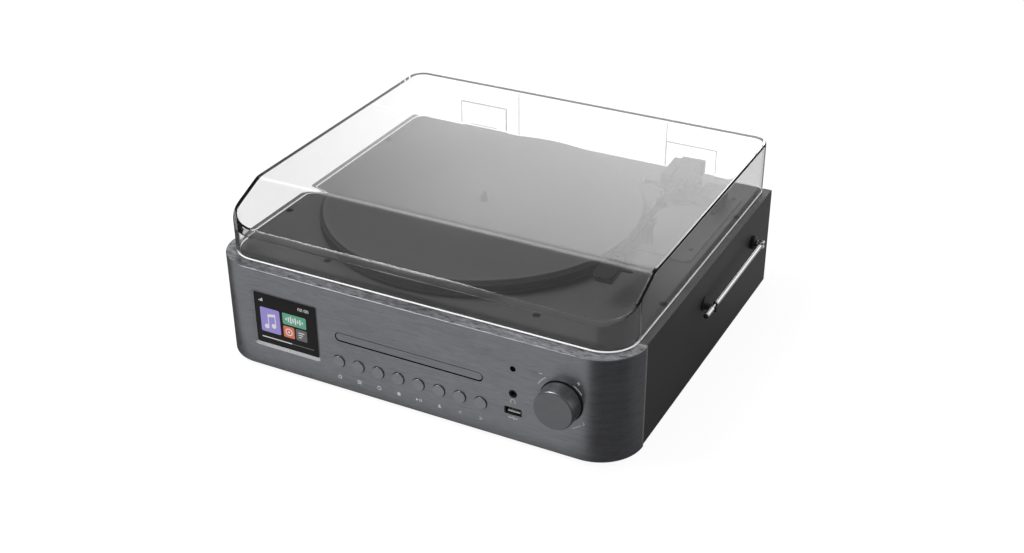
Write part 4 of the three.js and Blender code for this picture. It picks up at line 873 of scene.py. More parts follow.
@dataclass
class FrontPanel:
    """The metal front that wraps round both corners and turns in at the top as a ledge."""

    corner: float = 38.5
    wall: float = 4.0
    ledge: float = 14.4
    ledge_side: float = 10.4
    ledge_thick: float = 3.0
    ease: float = 0.7
    soft: float = 0.3
    hole_eases: tuple[float, float, float] = (2.6, 0.12, 0.3)
    screen_depth: float = 1.6
    usb_hole: Flat = (15.4, 6.8)
    eye_hole: float = 2.45
    jack_hole: float = 3.55
    shaft_hole: float = 3.6
    button_hole: float = 5.85
    end_ease: float = 0.6
    end_strip: float = 2.4
    columns: int = 18
    column_x: float = 98.1
    knob: Flat = (140.5, 51.0)
    eye_up: float = 68.3
    jack_up: float = 44.7
    usb_up: float = 28.0
    screen: Flat = (-119.4, 48.0)
    screen_half: float = 36.0
    sill: float = 4.0
    signs_up: float = 11.8

    def __post_init__(self) -> None:
        """Reads the panel's place from the frame."""
        self.node = Node("front_panel")
        self.half = self.node.wide / 2
        self.x = (self.node.high.x + self.node.low.x) / 2
        self.front, self.bottom, self.height = self.node.low.y, self.node.low.z, self.node.tall
        self.flat = self.half - self.corner
        self.reach = self.flat + self.corner * QUARTER + (self.node.deep - self.corner)
        self.buttons = [Node(name).centre.x - self.x for name in Buttons.NODES]

    def place(self, u: float, v: float, depth: float, side: float | None = None) -> Vector:
        """Bends a point of the unrolled panel round the corners.

        Args:
            u: Way along the outer face from its middle.
            v: Height.
            depth: Way in from the outer face.
            side: The same at the sides, where it differs.

        Returns:
            The point's place.
        """
        side = depth if side is None else side
        if abs(u) > self.reach - TINY:
            depth, side = max(depth, self.end_ease), max(side, self.end_ease)
            v = min(max(v, self.end_ease), self.height - self.end_ease)
        radius = self.corner - depth
        centre = self.half - side - radius
        over = abs(u) - self.flat
        angle = min(max(over / self.corner, 0), QUARTER)
        straight = max(over - self.corner * QUARTER, 0)
        x = centre * min(abs(u) / self.flat, 1) + radius * math.sin(angle)
        y = self.front + self.corner - radius * math.cos(angle) + straight
        return Vector((self.x + math.copysign(x, u), y, self.bottom + v))

    def holes(self) -> list[Outline]:
        """Lists everything that pierces the face.

        Returns:
            The holes' outlines, the display's first.
        """
        glass, drawer = Node("display_window"), Node("disc_drawer")
        size = glass.high - glass.low
        slot = (drawer.centre.x - self.x, drawer.centre.z - self.bottom)
        return [
            rounded(size.x + 0.6, size.z + 0.6, 1.5, self.screen),
            rounded(drawer.wide + 0.9, drawer.tall + 0.9, drawer.tall / 2 + 0.4, slot, 12),
            rounded(*self.usb_hole, 0.9, (self.column_x, self.usb_up), 4),
            disc(self.eye_hole, (self.column_x, self.eye_up)),
            disc(self.jack_hole, (self.column_x, self.jack_up)),
            disc(self.shaft_hole, self.knob),
            *(disc(self.button_hole, (x, Buttons.up)) for x in self.buttons),
        ]

    def stations(self) -> list[float]:
        """Spaces the columns that the face is bent at.

        Returns:
            Their ways along the outer face.
        """
        turn = self.corner * QUARTER
        right = [self.flat + turn * i / self.columns for i in range(self.columns + 1)]
        right += [self.reach - self.end_strip, self.reach - self.end_ease * 0.6, self.reach]
        right = sorted(set(round(u, 5) for u in right))
        return [*(-u for u in reversed(right)), *right]

    def build(self) -> None:
        """Builds the panel and its printed signs."""
        form = Form()
        across = self.stations()
        e, top, wall, soft = self.ease, self.height, self.wall, self.soft
        upper = [(e * (1 - math.cos(a)), top - e + e * math.sin(a)) for a in (0, 0.4, 0.8, 1.2, QUARTER)]
        lower = [(e * (1 - math.cos(a)), e - e * math.sin(a)) for a in (QUARTER, 0.8, 0)]
        depth, side, inner = self.ledge, self.ledge_side, top - self.ledge_thick
        section = [*((d, d, v) for d, v in upper), (depth - soft, side - soft, top), (depth, side, top - soft),
                   (depth, side, inner), (wall, wall, inner)]
        under = [(wall, wall, e), (wall - e, wall - e, 0), *((d, d, v) for d, v in lower)]
        ends: list[Row] = []
        for part in (section, under):
            rows = [form.row(self.place(u, v, d, s) for u in across) for d, s, v in part]
            form.skin(rows, closed=False)
            ends += rows
        for end in (0, -1):
            form.face(row[end] for row in ends)
        self.pierce(form, across, inner)
        self.mark(form)
        form.finished("front_metal_panel", "cabinet", "front_metal",
                      [FRONT_METAL, BLACK_AND_HOLE_SHADE, EDGE_HIGHLIGHT_METAL, SILL_HIGHLIGHT_METAL], "front_panel")
        self.print_signs()

    def pierce(self, form: Form, across: Sequence[float], inner: float) -> None:
        """Fills the face, outside and inside, and walls its holes; the walls' inner part is black as painted shade.

        Args:
            form: The panel.
            across: The columns' ways along the face.
            inner: The height under the ledge.
        """
        e, top, count, holes = self.ease, self.height, len(across), self.holes()
        eases = [self.hole_eases[min(i, 2)] for i in range(len(holes))]
        columns = [(i, 2 * count - 1 - i) for i in range(1, count - 1)]
        for depth, low, high, grow in ((0.0, e, top - e, 1), (self.wall, e, inner, 0)):
            edge = [*((u, low) for u in across), *((u, high) for u in reversed(across))]
            form.patch(edge, [hole(h * grow) for hole, h in zip(holes, eases)], depth, self.place, columns)
        for i, (hole, h) in enumerate(zip(holes, eases)):
            deep = h if i else self.screen_depth
            steps = [(h, 0.0), (h * 0.3, deep * 0.3) if i else (h * 0.92, 0.1), (0.0, deep), (0.0, self.wall)]
            rings = [form.row(self.place(u, v, d) for u, v in hole(grow)) for grow, d in steps]
            form.finish = 0
            form.skin(rings[:3])
            # Painted shade: the hole walls behind the eased rim are black.
            form.finish = 1
            form.skin(rings[2:])

    def mark(self, form: Form) -> None:
        """Gives the panel's ends and the sill under the display their finishes, lighter metals as painted highlights.

        Args:
            form: The panel.
        """
        end = self.node.high.y - self.end_strip
        sill = Node("display_window").low.z - 0.2
        beside = self.x + self.screen[0] + self.screen_half
        for face in form.mesh.faces:
            spot = face.calc_center_median()
            # Painted highlight: the end strips get the lighter edge metal.
            if spot.y > end and abs(face.normal.z) < 0.5:
                face.material_index = 2
            # Painted highlight: the sunk sill below the display gets the light sill metal.
            sunk = self.front + 0.05 < spot.y < self.front + self.screen_depth + 0.1
            if sunk and spot.x < beside and sill - self.sill < spot.z < sill and face.material_index == 0:
                face.material_index = 3

    def print_signs(self) -> None:
        """Prints the generic signs under the buttons, round the knob and by the sockets."""
        form = Form()
        (knob_x, knob_up), turn = self.knob, arc(1.7, 20, 165, 9)
        signs: list[tuple[Flat, list[tuple[list[Flat], float]]]] = [
            ((self.buttons[0], 0), [(arc(1.6, 125, 415, 16), 0.6), ([(0, 0.3), (0, 2.1)], 0.6)]),
            ((self.buttons[1], 0), [([(-2.1, s * 0.8), (2.1, s * 0.8)], 0.6) for s in (-1.7, 0.0, 1.7)]),
            ((self.buttons[2], 0), [(turn, 0.6), (arc(1.7, 200, 345, 9), 0.6),
                                    ([(0.8, 0.9), (2.3, 0.9), (1.55, -0.6)], 0),
                                    ([(-0.8, -0.9), (-2.3, -0.9), (-1.55, 0.6)], 0)]),
            ((self.buttons[3], 0), [(rounded(3.0, 3.0, 0.2)(0), 0)]),
            ((self.buttons[4], 0), [([(-2.9, -1.4), (-0.3, 0), (-2.9, 1.4)], 0),
                                    *(([(x, -1.4), (x, 1.4)], 0.7) for x in (0.7, 2.2))]),
            ((self.buttons[5], 0), [([(-1.6, -0.4), (1.6, -0.4), (0, 1.7)], 0), ([(-1.6, -1.3), (1.6, -1.3)], 0.6)]),
            *(((x, 0), [([(-way * 1.3, 1.5), (way * 1.3, 0), (-way * 1.3, -1.5)], 0.5)])
              for x, way in zip(self.buttons[6:], (-1, 1))),
            ((knob_x, knob_up - self.signs_up), [(arc(*sweep, 8), 0.6) for sweep in (
                (22.7, 127, 153), (20.3, 32, 59), (24.4, -67, -46))]),
            *(((knob_x + x, knob_up + y - self.signs_up), [(line, 0.6) for line in lines]) for x, y, lines in (
                (-18.1, 20.4, [[(-1.5, 0), (1.5, 0)]]),
                (14.4, 20.8, [[(-1.5, 0), (1.5, 0)], [(0, -1.5), (0, 1.5)]]),
                (19.6, -15.4, [[(-1, 1.4), (0.7, 0), (-1, -1.4)]]))),
        ]
        for (x, y), strokes in signs:
            self.sign(form, x, self.signs_up + y, strokes)
        self.sign(form, self.column_x, self.jack_up - 7.2, [(arc(1.9, -20, 200, 12), 0.5)])
        for x in (-1.9, 1.9):
            form.block((x - 0.5, -1.5, -PRINT_THICK), (x + 0.5, 0.1, PRINT_THICK), 0.02)
        self.sign(form, self.column_x, self.usb_up - 6.4, [
            ([(-3.2, 0), (3.0, 0)], 0.5), ([(-1.6, 0), (-0.5, 1.2), (1.2, 1.2)], 0.35),
            ([(-0.4, 0), (0.5, -1.1), (1.8, -1.1)], 0.35), ([(2.8, 0.8), (4.2, 0), (2.8, -0.8)], 0),
            (disc(0.7, (-3.4, 0), 4)(0), 0)])
        form.finished("front_signs", "cabinet", "front_metal", [PRINT])

    def sign(self, form: Form, x: float, y: float, strokes: Iterable[tuple[list[Flat], float]]) -> None:
        """Prints one sign.

        Args:
            form: The printing.
            x: Its place along the face.
            y: Its height on the face.
            strokes: Lines with their widths, or outlines to fill with a width of 0.
        """
        form.place = Facing.FRONT.at(self.x + x, self.front, self.bottom + y)
        for points, width in strokes:
            if width:
                form.ribbon(points, width)
            else:
                form.prism(points)


@dataclass
class Cabinet:
    """Side panels, back, feet and the deck plate."""

    ease: float = 0.9
    side_wall: float = 9.0
    plateau_edge: float = 4.8
    plateau_rise: float = 1.0
    plateau_corners: tuple[float, ...] = (24.2, 15.2, 15.2, 24.2)
    deck_corners: tuple[float, ...] = (23.8, 0.5, 0.5, 23.8)
    bores: tuple[tuple[str, float], ...] = (("spindle", 7.3), ("motor_pulley", 9.0), ("speed_selector", 2.3))
    screws: tuple[Flat, ...] = ((-180, -69), (180, -69), (-180, 101), (180, 101), (-99, -129), (99, -129))
    vents: int = 6
    vent_pitch: float = 8.0
    vent_middle: float = 109.65
    vent_up: float = 56.0
    screw_inset: float = 8.0

    def build(self) -> None:
        """Builds the pieces in order."""
        self.sides()
        self.back()
        self.feet()
        self.deck()
        dress(CASE_BLACK, "base_panel")

    def sides(self) -> None:
        """Builds both side panels with their cleats."""
        for side, way in (("left", -1), ("right", 1)):
            node = Node(f"side_panel_{side}")
            low, high = node.low, node.high
            outer, inner = (high.x, low.x) if way > 0 else (low.x, high.x)
            wall = sorted((outer, outer - way * self.side_wall))
            cleat = sorted((inner, outer - way * (self.side_wall - 1)))
            form = Form()
            form.block((wall[0], low.y, low.z), (wall[1], high.y, high.z), self.ease)
            form.block((cleat[0], low.y + 8, high.z - 11.3), (cleat[1], high.y - 14, high.z - 3.3), 0.3)
            form.finished(f"side_board_{side}", "cabinet", "side_black", [SIDE_FOIL], f"side_panel_{side}")

    def back(self) -> None:
        """Builds the back panel with its openings and screws."""
        node = Node("back_panel")
        centre = node.centre
        start = node.low.x + self.vent_middle
        vents = [Vector((start + (i - (self.vents - 1) / 2) * self.vent_pitch, 0, self.vent_up))
                 for i in range(self.vents)]
        holes = [rounded(*size, (centre.x - at.x, at.z - centre.z), steps) for size, at, steps in (
            ((24.6, 16.6, 0.3), Node("mains_inlet").centre, 2), ((56.9, 24.9, 0.3), Node("rear_sockets").centre, 2),
            *(((3, 26, 1.45), spot, 6) for spot in vents))]
        form = Form(Facing.BACK.at(centre.x, node.low.y, centre.z))
        form.plate(rounded(node.wide, node.tall, 0.8, steps=3), holes, 0, node.deep, 0.5)
        wide, tall = node.wide / 2 - self.screw_inset, node.tall / 2 - self.screw_inset
        for x in (-wide, -wide / 3, wide / 3, wide):
            for y in (-tall, tall):
                if y < 0 or abs(x) > wide / 2:
                    form.screw(form.place @ shift(x, y, node.deep), 2.6, (1, 2))
        form.finished("rear_board", "cabinet", "case_black", [CASE_BLACK, STEEL, CASE_BLACK], "back_panel")

    def feet(self) -> None:
        """Builds the four rubber feet."""
        for spot in ("front_left", "front_right", "rear_left", "rear_right"):
            node = Node(f"foot_{spot}")
            r, top = node.wide / 2, node.high.z
            form = Form(shift(node.centre.x, node.centre.y))
            form.turned([(0, 0.25), (r - 3, 0.25), (r - 2.4, 0), (r - 0.9, 0), (r, 1.2), (r - 0.4, top), (0, top)],
                        48, 0.3)
            form.finished(f"rubber_foot_{spot}", "cabinet", "foot_rubber", [RUBBER], f"foot_{spot}")

    def deck(self) -> None:
        """Builds the deck plate with its raised middle, holes and screws."""
        node, cover = Node("deck_plate"), Node("dust_cover")
        centre, top = node.centre, node.high.z - self.plateau_rise
        holes = [disc(r, tuple(Node(name).centre.to_2d() - centre.to_2d())) for name, r in self.bores]
        form = Form(shift(centre.x, centre.y))
        form.plate(rounded(node.wide, node.deep, self.deck_corners, steps=12), holes, node.low.z, top)
        away = (cover.low + cover.high).to_2d() / 2 - centre.to_2d()
        plateau = rounded(cover.wide - 2 * self.plateau_edge, cover.deep - 2 * self.plateau_edge,
                          self.plateau_corners, tuple(away), 12)
        form.plate(plateau, holes, top - 0.5, node.high.z, 0.45)
        for x, y in self.screws:
            form.screw(shift(centre.x + x, y + 2.6, node.high.z - 0.2), 3.4, (1, 1))
        form.finished("deck_board", "cabinet", "deck_black", [DECK_BLACK, BLACK_AND_HOLE_SHADE], "deck_plate")


@dataclass
class Cover:
    """The clear cover with its hinge plates and brackets."""

    wall: float = 2.8
    front_height: float = 26.0
    slope: float = 56.5
    front_corner: float = 29.0
    back_corner: float = 15.0
    ease: float = 1.0
    front_ease: float = 3.4
    inner_ease: float = 0.6
    band: float = 2.0
    crease: float = 1.3
    rim: float = 0.75
    rim_ease: float = 0.35
    # silhouette to behind_knee set where the painted shade and sheen go; strip also spaces the side wall's points.
    silhouette: Flat = (24.0, 52.0)
    strip: float = 1.2
    ahead: Flat = (9.0, 22.0)
    band_aside: float = 150.0
    dark_aside: float = 166.0
    side_aside: float = 180.0
    behind_knee: float = 4.0
    lip: float = 0.3
    fade: tuple[int, int] = (11, 8)
    along_side: tuple[int, int] = (15, 29)
    pad: Flat = (117.5, 99.5)
    pad_thick: float = 0.8
    barrel: float = 3.6
    leaf_thick: float = 3.0

    def __post_init__(self) -> None:
        """Reads the cover's place from the frame."""
        node = Node("dust_cover")
        self.low, self.high, self.rise = node.low, node.high, node.tall
        self.half = node.wide / 2
        self.middle_x = (self.low.x + self.high.x) / 2

    def top(self, y: float, inset: float) -> float:
        """Gives the height of the cover's upper surface.

        Args:
            y: The place from front to back.
            inset: How far the surface lies inside the outer one.

        Returns:
            The height in millimetres.
        """
        flat = self.high.z - inset
        steep = (self.rise - self.front_height + self.lip) / self.slope
        base = self.low.z + self.front_height - self.lip - inset * math.hypot(1, steep)
        tilted = base + steep * (y - self.low.y)
        gap = abs(flat - tilted)
        if gap >= self.crease:
            return min(flat, tilted)
        return min(flat, tilted) - (self.crease - gap) ** 2 / (4 * self.crease)

    def half_ring(self, inset: float, stations: Sequence[float]) -> list[Flat]:
        """Gives the right half of the plan from front to back.

        Args:
            inset: How far inside the outer wall.
            stations: Extra places along the side wall.

        Returns:
            Points as distance from the middle and place in depth.
        """
        half = self.half - inset
        front, back = self.low.y + inset, self.high.y - inset
        r1, r2 = self.front_corner - inset, self.back_corner - inset
        points = arc(r1, -90, 0, 14, (half - r1, front + r1))
        points += [(half, y) for y in stations if y > front + r1]
        return points + arc(r2, 0, 90, 12, (half - r2, back - r2))

    def both(self, half: Sequence[Point]) -> list[Point]:
        """Mirrors the right half of a ring to the left."""
        x = self.middle_x
        return [*((x + p[0], *p[1:]) for p in half), *((x - p[0], *p[1:]) for p in reversed(half))]

    def layer(self, form: Form, inset: float, ease: float, steps: int, looks: tuple[int, int]) -> Row:
        """Skins the outer or inner surface.

        Args:
            form: The form to add to.
            inset: How far inside the outer surface.
            ease: Radius of the rounding between walls and top.
            steps: Pieces of that rounding.
            looks: Finishes of the rounding, a painted shade on the outer surface, and of its stretch along the front,
                a painted sheen.

        Returns:
            The lowest row.
        """
        knee, corner = self.low.y + self.slope, self.low.y + self.front_corner
        stations = [corner + self.strip, corner + 8, *(knee + 2.0 * i for i in range(-6, 5)), 0.0]
        count = len(self.half_ring(0, stations))
        end, length = self.fade
        share = [max(0.0, min(1.0, (end - i) / length)) for i in range(count)]
        eases = [ease + (self.front_ease - self.ease) * part for part in share]
        angles = [QUARTER * i / steps for i in range(steps + 1)]
        rows = []
        for away, down, extra in ((None, 0.0, 0.0), *((1 - math.cos(a), 1 - math.sin(a), 0.0) for a in angles),
                                  (1.0, 0.0, self.band)):
            side = []
            for i, radius in enumerate(eases):
                x, y = self.half_ring(inset + extra + radius * (away or 0.0), stations)[i]
                z = self.low.z + self.rim if away is None else self.top(y, inset) - radius * down
                side.append((x, y, z))
            rows.append(form.row(self.both(side)))
        ends = [len(form.mesh.faces)]
        for look, part in ((0, rows[:2]), (looks[0], rows[1:-1]), (0, rows[-2:])):
            form.finish = look
            form.skin(part)
            ends.append(len(form.mesh.faces))
        last = rows[-1]
        for i in range(len(last) // 2 - 1):
            form.face((last[i], last[i + 1], last[len(last) - 2 - i], last[len(last) - 1 - i]))
        self.tint(form, ends, knee, corner, looks)
        return rows[0]

    def tint(self, form: Form, ends: Sequence[int], knee: float, corner: float, looks: tuple[int, int]) -> None:
        """Gives the stretches of a surface's walls and rounding their finishes: painted shade as dark coats and
        darker, less glossy acrylic, and the painted sheen on the front knee.

        Args:
            form: The cover.
            ends: Numbers of the first face, and of those after the walls, the rounding and its band.
            knee: Where the slope meets the top.
            corner: Where the front corners end.
            looks: Finishes of the rounding, a painted shade on the outer surface, and of its stretch along the front,
                a painted sheen.
        """
        start, walls, edges, bands = ends
        form.mesh.faces.ensure_lookup_table()
        for number, face in enumerate(form.mesh.faces[start:bands], start):
            spot = face.calc_center_median()
            aside = spot.x - self.middle_x
            turn = math.degrees(math.atan2(corner - spot.y, self.front_corner - aside - self.half))
            ahead = spot.y < self.low.y + self.ahead[aside >= 0]
            # Painted shade and sheen: dark coats, the knee sheen and shaded acrylic go by where each face lies.
            if number >= edges:
                dark = aside < -self.band_aside or (aside > self.band_aside and not ahead)
                face.material_index = looks[0] if dark and spot.y < knee + self.behind_knee else 0
            elif number < walls and aside > 0 and corner < spot.y < corner + self.strip:
                face.material_index = looks[0]
            elif number < walls and self.silhouette[0] < turn < self.silhouette[1]:
                face.material_index = 6 if looks[0] else 0
            elif ahead and (number < walls or aside > -self.dark_aside):
                face.material_index = 3 if number < walls else looks[1]
            elif number < walls and aside > self.side_aside and looks[0]:
                face.material_index = 5

    def build(self) -> None:
        """Builds the cover, its inner strip and its hinges."""
        form = Form()
        # The outer rounding gets the dark coat (1) and both surfaces' front knee the sheen (4), all painted light.
        outer = self.layer(form, 0.0, self.ease, 6, (1, 4))
        inner = self.layer(form, self.wall, self.inner_ease, 3, (0, 4))
        # Painted highlight and glow on the bottom rim.
        form.finish = 2
        rows = [outer]
        e, wall = self.rim_ease, self.wall
        for inset, z in ((0.0, e), (e, 0.0), (wall - e, 0.0), (wall, e)):
            half = self.half_ring(inset, [vert.co.y for vert in outer[slice(*self.along_side)]])
            rows.append(form.row((x, y, self.low.z + z) for x, y in self.both(half)))
        form.skin([*rows, inner])
        form.finished("clear_cover", "cover", "clear_cover",
                      [CLEAR, CLEAR_EDGE_SHADE, RIM_PAINTED_GLOW, CLEAR_FRONT_SHADED, CLEAR_KNEE_SHEEN, CLEAR_SIDE_SHADED, CLEAR_RIM_SHADE], "dust_cover",
                      smooth=25)
        self.strip_plate()
        for side in ("left", "right"):
            self.leaf(side)
            self.bracket(side)

    def strip_plate(self) -> None:
        """Builds the clear strip inside the back wall, its ends and edges dark as painted shade."""
        form = Form()
        back = self.high.y - self.wall - 0.1
        front = back - self.pad_thick
        left, right = self.low.x + self.pad[0], self.high.x - self.pad[1]
        low, high = self.low.z + 0.5, self.high.z - self.wall - 1.2
        form.block((left + 1, front, low), (right - 1, back, high), 0.35, rim=1)
        form.finish = 1
        for x in (left, right - 1):
            form.block((x, front, low), (x + 1, back, high), 0.3)
        form.finished("cover_inner_strip", "cover", "clear_cover", [CLEAR, CLEAR_STRIP_SHADE])

    def axis(self, side: str) -> tuple[Node, float, float]:
        """Gives a hinge's leaf and the depth and height of its axis."""
        node = Node(f"hinge_leaf_{side}")
        return node, node.high.y - self.barrel, node.low.z + self.barrel

    def leaf(self, side: str) -> None:
        """Builds the clear leaf of a hinge, its edges dark as painted shade.

        Args:
            side: The hinge's side, left or right.
        """
        node, y, z = self.axis(side)
        low, back, start = node.low, node.low.y + self.leaf_thick, (node.low.x + node.high.x) / 2 - 15
        form = Form()
        form.block((low.x, low.y, self.low.z), (node.high.x, back, node.high.z), 0.4, rim=2)
        form.finish = 1
        form.block((start, low.y, z), (start + 30, back, self.low.z + 1), 0.3)
        form.place = sideways(start, y, z)
        form.pipe(1.8, self.barrel, 0, 30, 40, 0.3)
        form.finished(f"clear_hinge_{side}", "cover", "clear_cover", [CLEAR, SATIN_BLACK, CLEAR_RIM_SHADE],
                      f"hinge_leaf_{side}")

    def bracket(self, side: str) -> None:
        """Builds the black bracket of a hinge with its pin.

        Args:
            side: The hinge's side, left or right.
        """
        _, y, z = self.axis(side)
        node = Node(f"hinge_bracket_{side}")
        low, high, plate_top = node.low, node.high, node.low.z + 18
        form = Form()
        form.block(low, (high.x, low.y + 2, plate_top))
        for start in (low.x, high.x - 8):
            form.place = sideways(start, y, z)
            form.pipe(0, self.barrel, 0, 8, 40, 0.4)
            form.place = Matrix()
            form.block((start, low.y, plate_top - 4), (start + 8, y + 1, z + 1), 0.5)
        form.finish = 1
        form.place = sideways(low.x + 1.5, y, z)
        form.pipe(0, 1.5, 0, node.wide - 3, 24)
        for x in (low.x + 8, high.x - 8):
            form.screw(Facing.BACK.at(x, low.y + 2, low.z + 8), 2.4, (1, 0))
        form.finished(f"hinge_mount_{side}", "cabinet", "black_plastic", [SATIN_BLACK, STEEL],
                      f"hinge_bracket_{side}")


@dataclass
class Display:
    """The recessed colour display with its glass and a generic picture."""

    proud: float = 0.03
    tiles: tuple[tuple[int, float, float, float, Flat, int], ...] = (
        (2, 20, 24, 1.4, (-16.5, -1.0), 4), (1, 24, 11.2, 1.2, (8.5, 5.4), 3),
        (3, 11.2, 11.2, 1.2, (2.1, -7.4), 3), (4, 11.2, 11.2, 1.2, (14.9, -7.4), 3))
    colours: tuple[tuple[str, Colour], ...] = (
        ("white", (0.85, 0.85, 0.88)), ("green", (0.12, 0.42, 0.27)), ("violet", (0.36, 0.3, 0.72)),
        ("red", (0.78, 0.2, 0.12)), ("grey", (0.14, 0.14, 0.15)))
    bars: tuple[float, ...] = (2.6, 5.0, 7.2, 4.4, 6.2, 3.2, 5.4, 2.2)

    def build(self) -> None:
        """Builds the glass and the lit patches on it."""
        node = Node("display_window")
        size = node.high - node.low
        glass = Form(node.front())
        glass.plate(rounded(size.x, size.z, 1.2, steps=5), [], 0, size.y, 0.12)
        glass.finished("display_glass", "cabinet", "screen_glass", [SCREEN_BLACK], "display_window")
        lit = Form(Facing.FRONT.at(node.centre.x, node.low.y, node.centre.z))
        for lit.finish, *tile in self.tiles:
            lit.prism(rounded(*tile)(0), -0.2, self.proud)
        lit.finish = 0
        self.motifs(lit)
        finishes = [Glow(f"screen_{name}", colour) for name, colour in self.colours]
        lit.finished("display_picture", "cabinet", "screen_glass", finishes)

    def motifs(self, lit: Form) -> None:
        """Draws the picture's plain motifs on the display.

        Args:
            lit: The lit patches.
        """
        thick = self.proud + 0.03
        for x, y in ((-20.6, -7.4), (-13.4, -5.9)):
            lit.prism(disc(2.3, (x, y), 6)(0), 0, thick)
            lit.ribbon([(x + 1.9, y), (x + 1.9, y + 11.0)], 0.8, thick)
        lit.prism([(-19.1, 2.2), (-11.1, 3.7), (-11.1, 6.3), (-19.1, 4.8)], 0, thick)
        for i, height in enumerate(self.bars):
            lit.prism(rounded(1.3, height, 0.3, (0.3 + i * 2.35, 5.4), 2)(0), 0, thick)
        lit.ribbon(arc(3.2, 0, 360, 24, (2.1, -7.4)), 0.9, thick)
        lit.prism(disc(1.0, (2.1, -7.4), 5)(0), 0, thick)
        for i in range(3):
            lit.ribbon([(11.9, -5.2 - i * 2.2), (17.9 - i * 1.4, -5.2 - i * 2.2)], 0.8, thick)
        for x in (14.2, 16.8, 20.4, 23.0):
            lit.ribbon(rounded(1.5, 2.6, 0.4, (x, 18.2), 2)(0), 0.42, thick)
        for i in range(3):
            lit.prism(rounded(0.9, 1.0 + i, 0.2, (-26.5 + i * 1.5, 17.3 + i * 0.5), 2)(0), 0, thick)
        lit.ribbon([(-26.5, -18.6), (4, -18.6)], 0.9, thick)
        lit.finish = 4
        lit.ribbon([(4, -18.6), (26.5, -18.6)], 0.7, thick)


@dataclass
class Drawer:
    """The disc drawer: a bezel that fills the slot and a tray with two steps for discs."""

    bezel: float = 4.0
    tray_inset: float = 3.15
    tray_thick: float = 6.0
    wells: tuple[Flat, ...] = ((61.0, 0.0), (61.0, 1.8), (41.0, 1.8), (41.0, 2.5))
    centre_from_front: float = 69.0
    window: float = 17.0
    edge: float = 0.25

    def build(self) -> None:
        """Builds the bezel and the tray."""
        node = Node("disc_drawer")
        centre, front_y = node.centre, node.low.y
        front = Form(Facing.FRONT.at(centre.x, front_y + self.bezel, centre.z))
        outline = rounded(node.wide - 0.9, node.tall - 0.9, node.tall / 2 - 0.46, (0.1, 0.4), 14)
        front.plate(outline, [], 0, self.bezel, 0.2)
        front.finished("drawer_bezel", "drawer", "button_metal", [FRONT_METAL])
        middle_y, top = front_y + self.centre_from_front, centre.z + self.tray_thick / 2
        tray = Form()
        half, gap = node.wide / 2 - self.tray_inset, self.window
        back, ahead = node.high.y - middle_y, front_y + self.bezel - middle_y - 0.2

        def put(points: Iterable[Flat], z: float) -> Row:
            """Adds points about the disc's centre."""
            return tray.row((centre.x + x, middle_y + y, z) for x, y in points)

        rows = []
        for radius, down in self.wells:
            turn = math.degrees(math.asin(gap / radius))
            rows.append(put(arc(radius, 90 + turn, 450 - turn, 72), top - down))
        tray.skin(rows, closed=False)
        slot = [(gap, back), (gap, -gap), (-gap, -gap), (-gap, back)]
        rim = put([(gap, back), (half, back), (half, ahead), (-half, ahead), (-half, back), (-gap, back)], top)
        tray.face([*rim, *rows[0]])
        floor = put([slot[2], slot[1]], top - self.wells[-1][1])
        tray.face([*rows[3], floor[1], floor[0]])
        base = put([(-half, back), (-half, ahead), (half, ahead), (half, back), *slot],
                   centre.z - self.tray_thick / 2)
        tray.face(base)
        for r1, b1, b2, r2 in ((1, 3, 2, 2), (2, 2, 1, 3), (3, 1, 0, 4), (0, 4, 3, 1), (5, 7, 0, 4)):
            tray.face([rim[r1], base[b1], base[b2], rim[r2]])
        tray.face([rim[0], *(row[-1] for row in rows), floor[1], base[5], base[4]])
        tray.face([rim[5], *(row[0] for row in rows), floor[0], base[6], base[7]])
        tray.face([floor[0], floor[1], base[5], base[6]])
        piece = tray.finished("disc_tray", "drawer", "drawer_plastic", [TRAY_GREY], "disc_drawer")
        ease = piece.modifiers.new("eased_edges", "BEVEL")
        ease.width, ease.segments, ease.limit_method = self.edge * MM, 2, "ANGLE"
        piece.modifiers.move(1, 0)


@dataclass
class Buttons:
    """The row of eight round press buttons."""

    NODES: ClassVar[tuple[str, ...]] = tuple(
        f"{word}_button" for word in ("standby", "mode", "repeat", "stop", "play", "eject", "previous", "next"))
    up: ClassVar[float] = 27.3
    radius: float = 5.5
    proud: float = 0.3
    travel: float = 4.3

    def build(self) -> None:
        """Builds each button as a turned cap with its flange and stem."""
        for name in self.NODES:
            node = Node(name)
            cap, flange, top = self.radius, node.deep - 1 - self.travel, node.deep + self.proud
            form = Form(node.front())
            form.turned([(0, 0), (2, 0), (2, flange - 1.5), (cap + 1.6, flange - 1.5), (cap + 1.6, flange),
                         (cap, flange), (cap, top - 0.4), (cap - 0.14, top - 0.12), (cap - 0.45, top),
                         (cap - 1.4, top - 0.05), (0, top - 0.1)], 56)
            form.finished(name.replace("button", "cap"), name.split("_")[0], "button_metal", [BUTTON_METAL], name)


@dataclass
class Knob:
    """The large turning knob on its shaft."""

    steps: int = 96

    def build(self) -> None:
        """Builds the knob and the dark ring behind it, which stands in for the shadow round the knob as painted shade.
        """
        node = Node("volume_knob")
        end = node.deep
        form = Form(node.front())
        form.turned([(3.3, 0), (16.9, 0), (17.55, 0.35), (17.7, 1.0), (17.25, end - 1.5), (17.15, end - 0.9),
                     (16.75, end - 0.35), (16.1, end), (15.4, end - 0.03), (9, end - 0.12), (0, end - 0.16),
                     (0, 7.3), (3.3, 7.3), (3.3, 0)], self.steps)
        form.finished("turning_knob", "knob", "knob_metal", [KNOB_METAL], "volume_knob", smooth=20)
        # Painted shade: a black ring on the panel behind the knob.
        ring = Form(Facing.FRONT.at(node.centre.x, Node("front_panel").low.y, node.centre.z))
        ring.turned([(4, -0.3), (18.7, -0.3), (18.7, 0.2), (18.2, 0.35), (4, 0.35)], 72, closed=True)
        ring.finished("knob_seat", "cabinet", "black_plastic", [RUBBER])
        dress(STEEL, "encoder_shaft")


